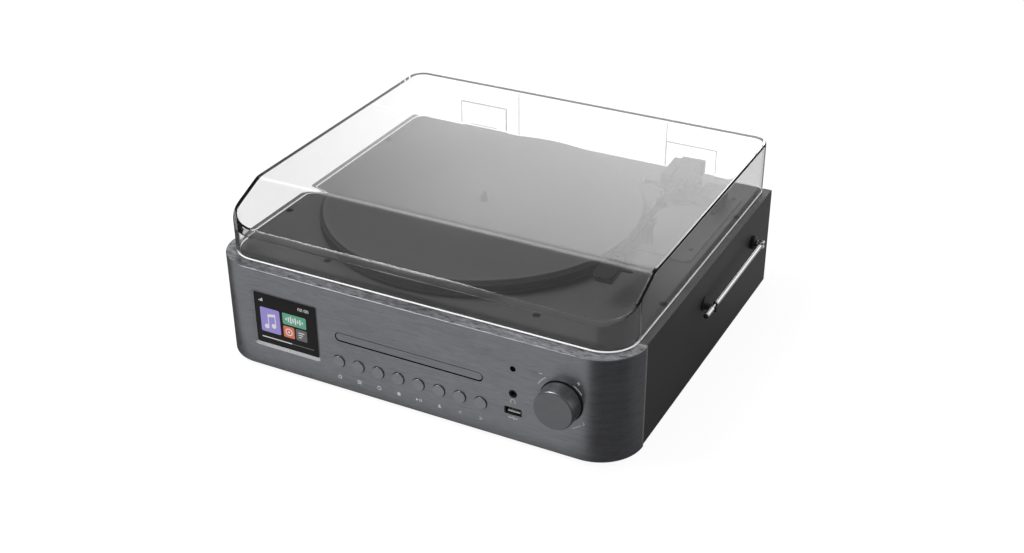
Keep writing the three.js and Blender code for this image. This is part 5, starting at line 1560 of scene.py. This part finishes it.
@dataclass
class Sockets:
    """The infrared eye, the headphone socket and the memory stick socket."""

    bore: float = 1.75
    mouth: float = 14.0

    def build(self) -> None:
        """Builds the three in the panel's right column."""
        node = Node("remote_eye")
        d = node.deep
        eye = Form(node.front())
        eye.turned([(0, 0), (2.1, 0), (2.1, d - 1.2), (1.6, d - 0.8), (0.8, d - 0.6), (0, d - 0.55)], 32)
        eye.finished("infrared_eye", "cabinet", "screen_glass", [BLACK_AND_HOLE_SHADE], "remote_eye")
        node = Node("headphone_jack")
        d, bore = node.deep, self.bore
        jack = Form(node.front())
        jack.block((-5, -5, 0), (5, 5, d - 4.3))
        jack.turned([(bore, d - 14), (3.2, d - 14), (3.2, d - 0.25), (2.9, d), (2.1, d), (bore, d - 0.5)], 40, 0.1,
                    closed=True)
        jack.finish = 1
        jack.pipe(bore, 2.6, d - 6, d - 4.5)
        jack.finished("phone_socket", "cabinet", "black_plastic", [RUBBER, STEEL], "headphone_jack")
        self.stick_socket()

    def stick_socket(self) -> None:
        """Builds the memory stick socket with its tongue and contacts."""
        node = Node("usb_socket")
        d = node.deep
        shell = Form(node.front())
        outer, inner = rounded(14.8, 6.2, 0.7, steps=4), rounded(13.6, 5.0, 0.4, steps=4)
        rows = [shell.level(outline(grow), z) for outline, grow, z in (
            (outer, 0, 0), (outer, 0, d - 0.1), (outer, -0.1, d), (inner, 0.1, d), (inner, 0, d - 0.1),
            (inner, 0, d - self.mouth))]
        shell.skin(rows[:4])
        shell.face(rows[0])
        # Painted shade: the socket's inner walls and back are black.
        shell.finish = 3
        shell.skin(rows[3:])
        shell.face(rows[-1])
        shell.finish = 1
        shell.block((-5.6, -2.1, d - self.mouth + 0.1), (5.6, -0.7, d - 1.0), 0.2)
        shell.finish = 2
        for x in (-3.6, -1.2, 1.2, 3.6):
            shell.block((x - 0.6, -0.8, d - 12), (x + 0.6, -0.6, d - 1.8), 0.04)
        shell.finished("stick_socket", "cabinet", "steel", [DARK_STEEL, WHITE, BRASS, BLACK_AND_HOLE_SHADE], "usb_socket")


@dataclass
class Player:
    """Platter, mat and spindle."""

    mat_grooves: int = 5
    lower: float = 0.6
    hub: Flat = (12.0, 2.9)
    rib: Flat = (58.5, 62.0)
    web: float = 3.5

    def build(self) -> None:
        """Builds the turning pieces and dresses those below."""
        node, deck = Node("platter"), Node("deck_plate").high.z
        place = shift(node.centre.x, node.centre.y, deck)
        r, top = node.wide / 2, node.high.z - deck - self.lower
        (hub, low), (one, two), under = self.hub, self.rib, node.high.z - deck - self.lower - self.web
        form = Form(place)
        form.turned([(3.3, top), (3.3, low), (hub, low), (hub, under), (one, under), (one, 1.6), (two, 1.6),
                     (two, under), (r - 4, under), (r - 4, 1.6), (r - 0.8, 1.6), (r, 2.6), (r, 4.6), (r - 0.5, 5.0),
                     (r - 0.5, 5.8), (r, 6.2), (r, top - 1.6), (r - 1.6, top)], 160, 0.25, closed=True)
        form.finished("platter_dish", "platter", "platter_metal", [PLATTER_BLACK], "platter")
        self.mat(place)
        node = Node("spindle")
        bottom, tip, shoulder = node.low.z - deck, node.high.z - deck, top + 0.3
        pin = Form(place)
        pin.turned([(0, bottom), (3, bottom), (3, shoulder), (3.5, shoulder), (3.5, tip - 4.5), (3.2, tip - 2.2),
                    (2.2, tip - 0.6), (0, tip)], 40, 0.4)
        pin.finished("centre_pin", "platter", "chrome", [PIN_GREY], "spindle")
        dress(BRASS, "platter_bearing", "motor_pulley")
        dress(STEEL, "turntable_motor")
        dress(RUBBER, "drive_belt")

    def mat(self, place: Matrix) -> None:
        """Builds the rubber mat with its fine rings.

        Args:
            place: The spindle's place on the deck.
        """
        node = Node("platter_mat")
        radius = node.wide / 2
        z0, z1 = (z - place.translation.z - self.lower for z in (node.low.z, node.high.z))
        profile: list[Flat] = [(3.8, z0), (radius, z0), (radius, z1 - 0.5), (radius - 0.5, z1)]
        step = (radius - 60) / self.mat_grooves
        for r in (radius - 4 - i * step for i in range(self.mat_grooves)):
            profile += [(r, z1), (r - 0.3, z1 - 0.12), (r - 0.7, z1 - 0.12), (r - 1.0, z1)]
        form = Form(place)
        form.turned([*profile, (3.8, z1)], 144, closed=True)
        form.finished("rubber_mat", "platter", "mat_rubber", [MAT_RUBBER], "platter_mat")


@dataclass
class Arm:
    """The arm with its base, yoke, weight, cartridge, lift and lever."""

    height: float = 26.0
    reach: float = 196.8
    rest_angle: float = 3.0
    block_height: float = 9.0
    shell_low: float = 24.7
    shell_length: float = 34.0
    nose: float = 14.0
    clearance: float = 148.0
    guide: Flat = (30.0, 20.0)
    rest: float = 96.0

    def __post_init__(self) -> None:
        """Reads the pivot's place from the frame."""
        yoke = Node("tonearm_yoke").centre
        self.x, self.y = yoke.x, yoke.y
        self.fixed = shift(self.x, self.y, Node("deck_plate").high.z)
        self.turned = self.fixed @ Matrix.Rotation(math.radians(self.rest_angle), 4, "Z")

    def build(self) -> None:
        """Builds the pieces from the deck up."""
        for make in (self.base, self.yoke, self.tube, self.weight, self.head, self.lift, self.lever):
            make()

    def beyond(self, radius: float, angle: float) -> Matrix:
        """Gives the fixed place at a distance in front of the pivot, at an angle in degrees."""
        turn = math.radians(angle)
        return self.fixed @ shift(radius * math.sin(turn), -radius * math.cos(turn))

    def plan(self) -> list[Flat]:
        """Plans the base plate, hollowed round the platter.

        Returns:
            Its outline.
        """
        spot = Node("platter").centre.to_2d() - Vector((self.x, self.y))
        result = []
        dense = rounded(71, 136, 7, (11.5, -44), 6)(0)
        for (ax, ay), (bx, by) in zip(dense, [*dense[1:], dense[0]]):
            steps = max(1, round(math.hypot(bx - ax, by - ay) / 2.5))
            for i in range(steps):
                point = Vector((ax + (bx - ax) * i / steps, ay + (by - ay) * i / steps))
                away = point - spot
                if away.length < self.clearance:
                    point = spot + away.normalized() * self.clearance
                result.append(tuple(point))
        return result

    def base(self) -> None:
        """Builds the plate, tower, lever housing, lift guide and arm rest."""
        form = Form(self.fixed)
        form.finish = 1
        form.prism(self.plan(), 0.3, 1.8, 0.35)
        form.finish = 0
        top = self.height - self.block_height / 2 - 1 - 2.6 - 0.3
        form.turned([(0, 1), (16, 1), (16, top - 1.2), (14.8, top), (4.3, top), (4.3, top - 8), (0, top - 8)], 64, 0.3)
        form.turned([(16.0, 1.5), (19.0, 1.5), (18.4, 2.9), (16.0, 3.6)], 64, 0.2, closed=True)
        form.block((17, -15, 1), (35, 15, 13.05), 1.0)
        form.place = self.beyond(self.guide[0], -self.guide[1])
        form.turned([(0, 1), (5, 1), (5, 8), (4.4, 9.05), (2.3, 9.05), (2.3, 2), (0, 2)], 32, 0.2)
        form.place = self.beyond(self.rest, self.rest_angle)
        for low, high in (((-3.5, -3, 1), (3.5, 3, 20.5)), ((-6, -3, 19.7), (6, 3, 22.7)),
                          ((3.6, -3, 19.9), (6, 3, 25.7))):
            form.block(low, high, 0.5)
        for x, y in ((-8, -90), (40, -90), (40, 18), (-8, 18)):
            form.screw(self.fixed @ shift(x, y, 1.8), 1.9)
        form.finished("arm_base", "cabinet", "black_plastic", [ARM_BLACK, DECK_BLACK], "tonearm_base")

    def yoke(self) -> None:
        """Builds the swinging yoke."""
        low = self.height - self.block_height / 2 - 3.6
        form = Form(self.turned)
        form.turned([(0, low - 7.7), (4, low - 7.7), (4, low), (13.4, low), (14, low + 0.6), (14, low + 2),
                     (13.4, low + 2.6), (0, low + 2.6)], 56, 0.15)
        form.block((-16, -20, low + 1), (-7.6, 19, self.height + 3.6), 0.35)
        form.block((7.6, -14, low + 1), (10.6, 16.5, self.height + 1.6), 0.35)
        form.finished("swinging_yoke", "yoke", "black_plastic", [ARM_BLACK], "tonearm_yoke")

    def tube(self) -> None:
        """Builds the arm's block, tube, headshell with finger lift, and rear stub."""
        form = Form(self.turned)
        end, z, low, nose = self.reach - self.shell_length, self.height, self.shell_low, -self.reach - self.nose
        form.block((-7, -24, z - 4.3), (7, 16, z + 1.8))
        form.tube([(0, -20 - (end - 7) * i / 12, z) for i in range(13)], 3.0, 28)
        form.tube([(0, y, z) for y in (5, 27)], 1.4, 20)
        form.place = self.turned @ shift(0, -end + 8, z) @ Matrix.Rotation(QUARTER, 4, "X")
        form.pipe(2.9, 4.3, 0, 12, 32, 0.5)
        form.place = self.turned
        right = [(6, nose), (9, nose + 6), (9, nose + 30), (4.5, nose + 44)]
        outline = [(-6, nose), *right, *((-x, y) for x, y in reversed(right[1:]))]
        form.prism(eased(outline, 3, 4, True), low, low + 2.4, 0.5)
        form.block((-4.5, -end - 10, low + 1.2), (4.5, -end + 4, z + 3), 1.0)
        finger = [(8.5, 17.2), (19.5, 17.2), (20.7, 19.2), (19.5, 21.2), (8.5, 21.2)]
        form.prism(eased([(x, nose + y) for x, y in finger], 1, 3, True), low + 1.1, low + 2.3, 0.3)
        form.finished("arm_tube", "arm", "black_plastic", [ARM_BLACK], "tonearm")

    def weight(self) -> None:
        """Builds the block-shaped counterweight with its clamp groove."""
        form, z = Form(self.turned), self.height
        for half, start, end, low, high, ease in (
                (11, 18, 23.6, -11, 1.6, 0.5), (10.4, 23, 24.6, -10.4, 1.0, 0.2), (11, 24, 28, -11, 1.6, 0.5)):
            form.block((-half, start, z + low), (half, end, z + high), ease)
        form.screw(self.turned @ Facing.BACK.at(0, 28, z - 5), 2.4)
        form.finished("balance_weight", "arm", "steel", [ARM_BLACK], "counterweight")

    def head(self) -> None:
        """Builds the cartridge with its stylus."""
        form = Form(self.turned)
        top, y = self.shell_low - 0.3, 6 - self.reach
        form.block((-7.5, y - 13, top - 6.6), (7.5, y + 13, top), 1.0)
        form.block((-5, y - 14.0, top - 5.2), (5, y - 10, top - 0.8), 0.6)
        form.finish = 1
        form.block((-3.2, -self.reach - 5, top - 7.6), (3.2, -self.reach + 3, top - 5.6), 0.5)
        form.place = self.turned @ shift(0, -self.reach, top - 8.8)
        form.turned([(0, 0), (0.35, 0.5), (0.9, 2.4), (0, 2.4)], 16)
        form.finished("pickup", "arm", "black_plastic", [SATIN_BLACK, RED], "cartridge")

    def lift(self) -> None:
        """Builds the curved lifting bar on its rod."""
        top = self.height - 3.3
        form = Form(self.fixed)
        form.prism([*arc(32.5, -136, -81, 24), *arc(27.5, -81, -136, 24)], top - 3, top, 0.5)
        form.finish = 1
        form.place = self.beyond(self.guide[0], -self.guide[1])
        form.pipe(0, 2, top - 19, top - 1.5, 24, 0.2)
        form.finished("lifting_bar", "lift", "black_plastic", [ARM_BLACK, STEEL], "lift_platform")

    def lever(self) -> None:
        """Builds the cue lever on its axle."""
        node = Node("cue_lever")
        x, y, z = node.high.x - 4, node.high.y - 4, (node.low.z + node.high.z) / 2
        form = Form(sideways(x, y, z))
        form.pipe(0, 4, 0, 4, 32, 0.5)
        form.place = sideways(node.low.x, y, z)
        form.pipe(0, 2, 0, node.wide - 3, 24)
        form.place = Facing.RIGHT.at(x, y, z)
        outline = [(1.5, 1.6), (-20, 1.4), (-26, 1.5), (-26, -1.5), (-20, -1.2), (1.5, -1.6)]
        form.prism(eased(outline, 1.2, 3, True), 0, 4, 0.4)
        form.finished("cue_handle", "cue", "black_plastic", [ARM_BLACK], "cue_lever")


@dataclass
class Selector:
    """The small round speed control on the deck."""

    angles: Flat = (100, 40)

    def build(self) -> None:
        """Builds the control with its ridge and its two plain marks."""
        node, deck = Node("speed_selector"), Node("deck_plate").high.z
        place = shift(node.centre.x, node.centre.y, deck)
        form = Form(place)
        low = node.low.z - deck
        form.turned([(0, low), (2, low), (2, 0.3), (4.6, 0.3), (4.6, 3.6), (4.1, 4.3), (0, 4.3)], 40, 0.25)
        form.block((-0.6, -3.9, 4.0), (0.6, 3.9, node.high.z - deck), 0.25)
        form.finished("speed_control", "selector", "black_plastic", [SATIN_BLACK], "speed_selector")
        marks = Form(place)
        for angle in self.angles:
            marks.ribbon([arc(radius, angle, angle, 1)[0] for radius in (6.4, 8.6)], 0.5)
        marks.finished("speed_marks", "cabinet", "deck_black", [PRINT])


@dataclass
class Rear:
    """The sockets and the mains inlet on the back."""

    pitch: float = 16.0

    def build(self) -> None:
        """Builds both."""
        node, face = Node("rear_sockets"), Node("back_panel").high.y + 0.3
        place = Facing.BACK.at(node.centre.x, face, node.centre.z)
        form = Form(place)
        form.plate(rounded(72, 34, 2, steps=5), [], 0, 2, 0.4)
        form.block((-28, -12, node.low.y - face), (28, 12, 0.5))
        end = node.high.y - face
        for column in (-1.5, -0.5, 0.5, 1.5):
            for row in (-0.5, 0.5):
                form.place = place @ shift(column * self.pitch, row * self.pitch)
                form.finish = 1
                form.turned([(1.7, end - 7.5), (4.0, end - 7.5), (4.0, end - 0.5), (3.6, end), (3.1, end),
                             (3.1, end - 6.5), (1.7, end - 6.5)], 40, 0.12, closed=True)
                form.finish = 2 if row > 0 else 3
                form.turned([(3.2, 1.5), (5.6, 1.5), (5.6, 3.0), (5.2, 3.3), (3.2, 3.3)], 40, 0.1, closed=True)
                form.pipe(1.7, 3.05, 1.5, end - 2.6, 40, 0.1)
        for x in (-32.6, 32.6):
            form.screw(place @ shift(x, 0, 2), 1.8, (1, 0))
        form.finished("socket_field", "cabinet", "black_plastic", [SATIN_BLACK, STEEL, WHITE, RED], "rear_sockets")
        self.inlet(face)

    def inlet(self, face: float) -> None:
        """Builds the mains inlet.

        Args:
            face: The back panel's outer face.
        """
        node = Node("mains_inlet")
        place = Facing.BACK.at(node.centre.x, face, node.centre.z)
        form = Form(place)
        mouth, shell = rounded(15.8, 8.8, 4.2, steps=10), rounded(24, 16, 1.2, steps=5)(0)
        form.plate(rounded(30, 22, 2.2, steps=5), [mouth], 0, node.high.y - face, 0.4)
        walls = ((shell, node.low.y - face), (mouth(0), -9.5))
        for outline, depth in walls:
            form.skin([form.level(outline, z) for z in (0.2, depth)])
        for outline, depth in reversed(walls):
            form.face(form.level(outline, depth))
        form.finish = 1
        for x in (-3.4, 3.4):
            form.place = place @ shift(x, 0, -9.6)
            form.turned([(0, 0), (1.15, 0), (1.15, 6.6), (0.6, 7.2), (0, 7.2)], 20)
        form.finished("power_inlet", "cabinet", "black_plastic", [SATIN_BLACK, BRASS], "mains_inlet")


@dataclass
class Aerial:
    """The folding aerial on the right side with its base and clip."""

    cheek: Flat = (1.5, 3.1)
    rod: float = 107.8

    def __post_init__(self) -> None:
        """Reads the aerial's line from the frame."""
        node = Node("aerial_sleeve")
        self.x = (node.low.x + node.high.x) / 2
        self.z = (node.low.z + node.high.z) / 2
        self.mouth = node.low.y
        self.pivot = Node("aerial_base").centre.y
        self.side = Node("side_panel_right").high.x

    def along(self, y: float) -> Matrix:
        """Gives the place of a shape turned about the rod, looking to the front."""
        return Facing.FRONT.at(self.x, y, self.z)

    def across(self, y: float) -> Matrix:
        """Gives the place of a shape turned about the swivel, looking out of the side."""
        return Facing.RIGHT.at(self.side, y, self.z)

    def build(self) -> None:
        """Builds base, knuckle, tubes, tip and clip."""
        base = Form(self.across(self.pivot))
        base.turned([(2.6, 0.75), (2.6, 4.9), (4.6, 4.9), (6.2, 3.4), (6.2, 0.3), (2.6, 0.3)], 48, 0.35)
        base.finished("aerial_mount", "cabinet", "black_plastic", [SATIN_BLACK], "aerial_base")
        self.knuckle()
        self.sleeve()
        inner = Form(self.along(self.mouth + 108))
        inner.pipe(1.25, 1.6, 0, self.rod, 36, 0.1)
        inner.finished("aerial_inner_tube", "middle", "chrome", [CHROME], "aerial_middle")
        self.tip()
        self.clip()

    def knuckle(self) -> None:
        """Builds the fork that turns in the base."""
        form = Form(self.across(self.pivot))
        form.turned([(0, 0.9), (2.3, 0.9), (2.3, 5.2), (3.0, 5.3), (3.4, 5.9), (3.0, 6.4), (0, 6.4)], 36, 0.2)
        form.place = shift(self.x, self.pivot, self.z)
        for way in (-1, 1):
            low, high = sorted(way * z for z in self.cheek)
            form.pipe(0, 3.1, low, high, 36, 0.35)
            form.block((-3.6, -2.3, low), (0, 2.3, high), 0.35)
        form.pipe(0, 0.9, -3.1, 3.1, 20)
        form.finished("aerial_joint", "knuckle", "chrome", [CHROME], "aerial_knuckle")

    def sleeve(self) -> None:
        """Builds the outer tube with its plug and tongue."""
        form = Form(self.along(self.pivot - 4))
        end = self.pivot - 4 - self.mouth
        form.turned([(1.95, 0.6), (2.4, 0.6), (2.4, end - 0.8), (2.1, end - 0.3), (2.1, end), (1.95, end)], 48, 0.12,
                    closed=True)
        form.turned([(0, 0.3), (1.9, 0.3), (2.4, 0.9), (2.4, 2.0), (0, 2.0)], 48, 0.1)
        form.place = shift(self.x, self.pivot, self.z) @ Matrix.Rotation(QUARTER, 4, "Z")
        form.prism([*arc(2.8, -90, 90, 14), (-4.6, 2.5), (-4.6, -2.5)], -1.2, 1.2, 0.25)
        form.finished("aerial_tube", "sleeve", "chrome", [CHROME], "aerial_sleeve")

    def tip(self) -> None:
        """Builds the thin rod and its cap."""
        back = self.mouth - 8.4
        end = back - Node("aerial_tip").low.y
        form = Form(self.along(back + 107.5))
        form.pipe(0, 0.9, 0, 108, 20)
        form.place = self.along(back)
        form.turned([(0, 0), (1.9, 0), (2.4, 0.5), (2.4, end - 2.4), (2.15, end - 1.9), (2.15, end - 1.4)], 40, 0.1)
        form.finish = 1
        form.turned([(2.15, end - 1.5), (2.3, end - 1.4), (2.1, end - 0.5), (1.2, end), (0, end)], 40, 0.15)
        form.finished("aerial_end", "tip", "chrome", [CHROME, SATIN_BLACK], "aerial_tip")

    def clip(self) -> None:
        """Builds the clip that the folded rod rests in."""
        node = Node("aerial_clip")
        y, reach = (node.low.y + node.high.y) / 2, self.x - self.side
        form = Form(self.across(y))
        form.turned([(0, 0.3), (6.2, 0.3), (6.2, 1.4), (5.6, 1.9), (0, 1.9)], 48, 0.25)
        form.place = Facing.FRONT.at(self.side, y + 2, self.z)
        seat = [(0.5, -4.1), (reach + 3.5, -4.1), (reach + 3.5, -1.9), (reach - 2.2, -1.9), (reach - 2.2, 0.3),
                (0.5, 0.3)]
        form.prism(eased(seat, 0.5, 3, True), 0, 4, 0.3)
        form.finished("aerial_rest", "cabinet", "black_plastic", [SATIN_BLACK], "aerial_clip")


class Interior:
    """The pieces inside that keep their CAD shape."""

    def build(self) -> None:
        """Gives each its finish."""
        dress(BOARD, "main_board", "power_supply", "control_board")
        dress(CASE_BLACK, "disc_loader_frame")
        dress(SATIN_BLACK, "display_module", "disc_hub", "laser_sled")


@dataclass
class Studio:
    """Floor, world, lamp and the photograph's camera, in metres."""

    azimuth: float = -27.441
    elevation: float = 29.741
    roll: float = -0.33
    camera_place: tuple[float, ...] = (0.526853, -1.004504, 0.694527)
    lens: float = 50.688
    sensor: float = 36.0
    floor_half: float = 6.0
    floor_white: float = 0.93
    floor_ahead: float = 0.38
    floor_behind: float = 0.6
    sky_top: float = 4.0
    sky: dict[float, float] = field(default_factory=lambda: {
        -1.0: 0.35, 0.0: 0.36, 0.2: 0.36, 0.3: 0.6, 0.38: 3.2, 0.5: 3.2, 0.58: 1.1, 0.72: 1.1, 0.87: 2.5, 1.0: 2.5})
    sky_left: Flat = (-0.75, -0.42)
    sky_right: Flat = (0.0, -0.2)
    sky_far: Flat = (0.2, 0.35)
    sky_far_level: Flat = (0.15, 0.5)
    dull_level: Flat = (0.7, 0.3)
    dull_range: Flat = (-0.6, 0.8)
    shadow_grey: float = 0.14
    floor_grey: float = 0.6
    floor_gloss: float = 0.05
    ahead_x: Flat = (0.175, 0.125)
    ahead_y: Flat = (-0.16, -0.19)
    beside_y: Flat = (-0.17, -0.1)
    beside_level: float = 0.1
    behind_x: Flat = (0.14, 0.21)
    behind_y: Flat = (0.04, 0.2)
    behind_level: float = 0.36
    lamp_place: tuple[float, ...] = (-1.3, -0.65, 2.2)
    lamp_target: tuple[float, ...] = (0, 0, 0.08)
    lamp_size: float = 1.1
    lamp_power: float = 38.0

    def build(self) -> None:
        """Sets up everything that isn't part of the object."""
        self.world()
        self.floor()
        self.lamp()
        self.camera()
        bpy.context.scene.view_settings.view_transform = "Standard"

    def show(self, name: str, data: Any) -> bpy.types.Object:
        """Adds an object to the scene.

        Args:
            name: Its name.
            data: Its mesh, lamp or camera.

        Returns:
            The object.
        """
        item = bpy.data.objects.new(name, data)
        bpy.context.scene.collection.objects.link(item)
        return item

    def world(self) -> None:
        """Makes a white world whose gloss has a bright sky behind the object."""
        world = bpy.data.worlds.new("studio_world")
        bpy.context.scene.world = world
        tree = Tree(world)
        way = tree.add("SeparateXYZ", {0: tree.add("TexCoord").outputs["Generated"]})
        ramp = tree.add("ValToRGB", {0: tree.spread(way.outputs[1], 0, 1, -1, 1)})
        stops = sorted(self.sky.items())
        for _ in stops[2:]:
            ramp.color_ramp.elements.new(0.5)
        for element, (place, level) in zip(ramp.color_ramp.elements, stops):
            element.position = (place + 1) / 2
            element.color = (*[level / self.sky_top] * 3, 1)
        gloss = tree.times(ramp.outputs[0], self.sky_top)
        left, right = (tree.ease(way.outputs[0], *edge) for edge in (self.sky_left, self.sky_right))
        far = tree.spread(tree.ease(way.outputs[0], *self.sky_far), *self.sky_far_level)
        gloss = tree.times(gloss, tree.maths("MAXIMUM", tree.times(left, right), far))
        dull = tree.spread(way.outputs[0], *self.dull_level, *self.dull_range)
        other = tree.blend(tree.add("LightPath").outputs["Is Glossy Ray"], dull, gloss)
        strength = tree.blend(tree.background(), other, 1.0)
        tree.close(tree.out("Background", {"Color": (1, 1, 1, 1), "Strength": strength}), "OutputWorld")

    def floor(self) -> None:
        """Makes the pale floor, white to the camera but for the object's shadow."""
        material = bpy.data.materials.new("studio_floor")
        tree = Tree(material)
        where = tree.add("SeparateXYZ", {0: tree.add("TexCoord").outputs["Object"]})
        x, y = where.outputs[0], where.outputs[1]

        def flat(level: float) -> Socket:
            """Gives a plain grey."""
            return tree.out("BsdfDiffuse", {"Color": (level, level, level, 1)})

        def light(strength: Any) -> Socket:
            """Gives a white light."""
            return tree.out("Emission", {"Color": (1, 1, 1, 1), "Strength": strength})

        shown = tree.out("AddShader", {0: flat(self.shadow_grey), 1: light(self.floor_white)})
        ahead = tree.times(tree.ease(x, *self.ahead_x), tree.ease(y, *self.ahead_y))
        beside = tree.times(tree.ease(y, *self.beside_y), self.beside_level)
        behind = tree.maths("ADD", beside, tree.times(tree.ease(y, *self.behind_y), self.behind_level))
        behind = tree.times(tree.ease(x, *self.behind_x), behind)
        glow = tree.maths("ADD", tree.times(ahead, self.floor_ahead), tree.times(behind, self.floor_behind))
        gloss = light(tree.maths("ADD", glow, self.floor_gloss))
        glossy = tree.add("LightPath").outputs["Is Glossy Ray"]
        other = tree.out("MixShader", {0: glossy, 1: flat(self.floor_grey), 2: gloss})
        tree.close(tree.out("MixShader", {0: tree.background(), 1: other, 2: shown}))
        half = self.floor_half
        data = bpy.data.meshes.new("studio_floor")
        data.from_pydata([(-half, -half, 0), (half, -half, 0), (half, half, 0), (-half, half, 0)], [], [(0, 1, 2, 3)])
        data.materials.append(material)
        floor = self.show("studio_floor", data)

    def lamp(self) -> None:
        """Adds the soft key lamp from above on the left."""
        data = bpy.data.lights.new("key", "AREA")
        data.shape = "RECTANGLE"
        data.size = data.size_y = self.lamp_size
        data.energy = self.lamp_power
        lamp = self.show("key", data)
        lamp.location = self.lamp_place
        lamp.rotation_euler = (Vector(self.lamp_place) - Vector(self.lamp_target)).to_track_quat("Z", "Y").to_euler()

    def camera(self) -> None:
        """Places the camera as the photograph's."""
        az, el, roll = (math.radians(a) for a in (self.azimuth, self.elevation, self.roll))
        ahead = Vector((math.sin(az) * math.cos(el), math.cos(az) * math.cos(el), -math.sin(el)))
        right = ahead.cross(Vector((0, 0, 1))).normalized()
        up = right.cross(ahead)
        side = right * math.cos(roll) + up * math.sin(roll)
        head = up * math.cos(roll) - right * math.sin(roll)
        data = bpy.data.cameras.new("photo_camera")
        data.lens = self.lens
        data.sensor_width = self.sensor
        camera = self.show("photo_camera", data)
        camera.matrix_world = shift(*self.camera_place) @ Matrix((side, head, -ahead)).transposed().to_4x4()
        bpy.context.scene.camera = camera


def main() -> None:
    """Loads the frame, builds every sub-assembly and logs each as done."""
    logging.basicConfig(level=logging.INFO, format="%(name)s: %(message)s")
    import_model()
    for maker in (FrontPanel, Cabinet, Cover, Display, Drawer, Buttons, Knob, Sockets, Player, Arm, Selector, Rear,
                  Aerial, Interior, Studio):
        maker().build()
        LOG.info("%s is done", maker.__name__)


if __name__ == "__main__":
    main()
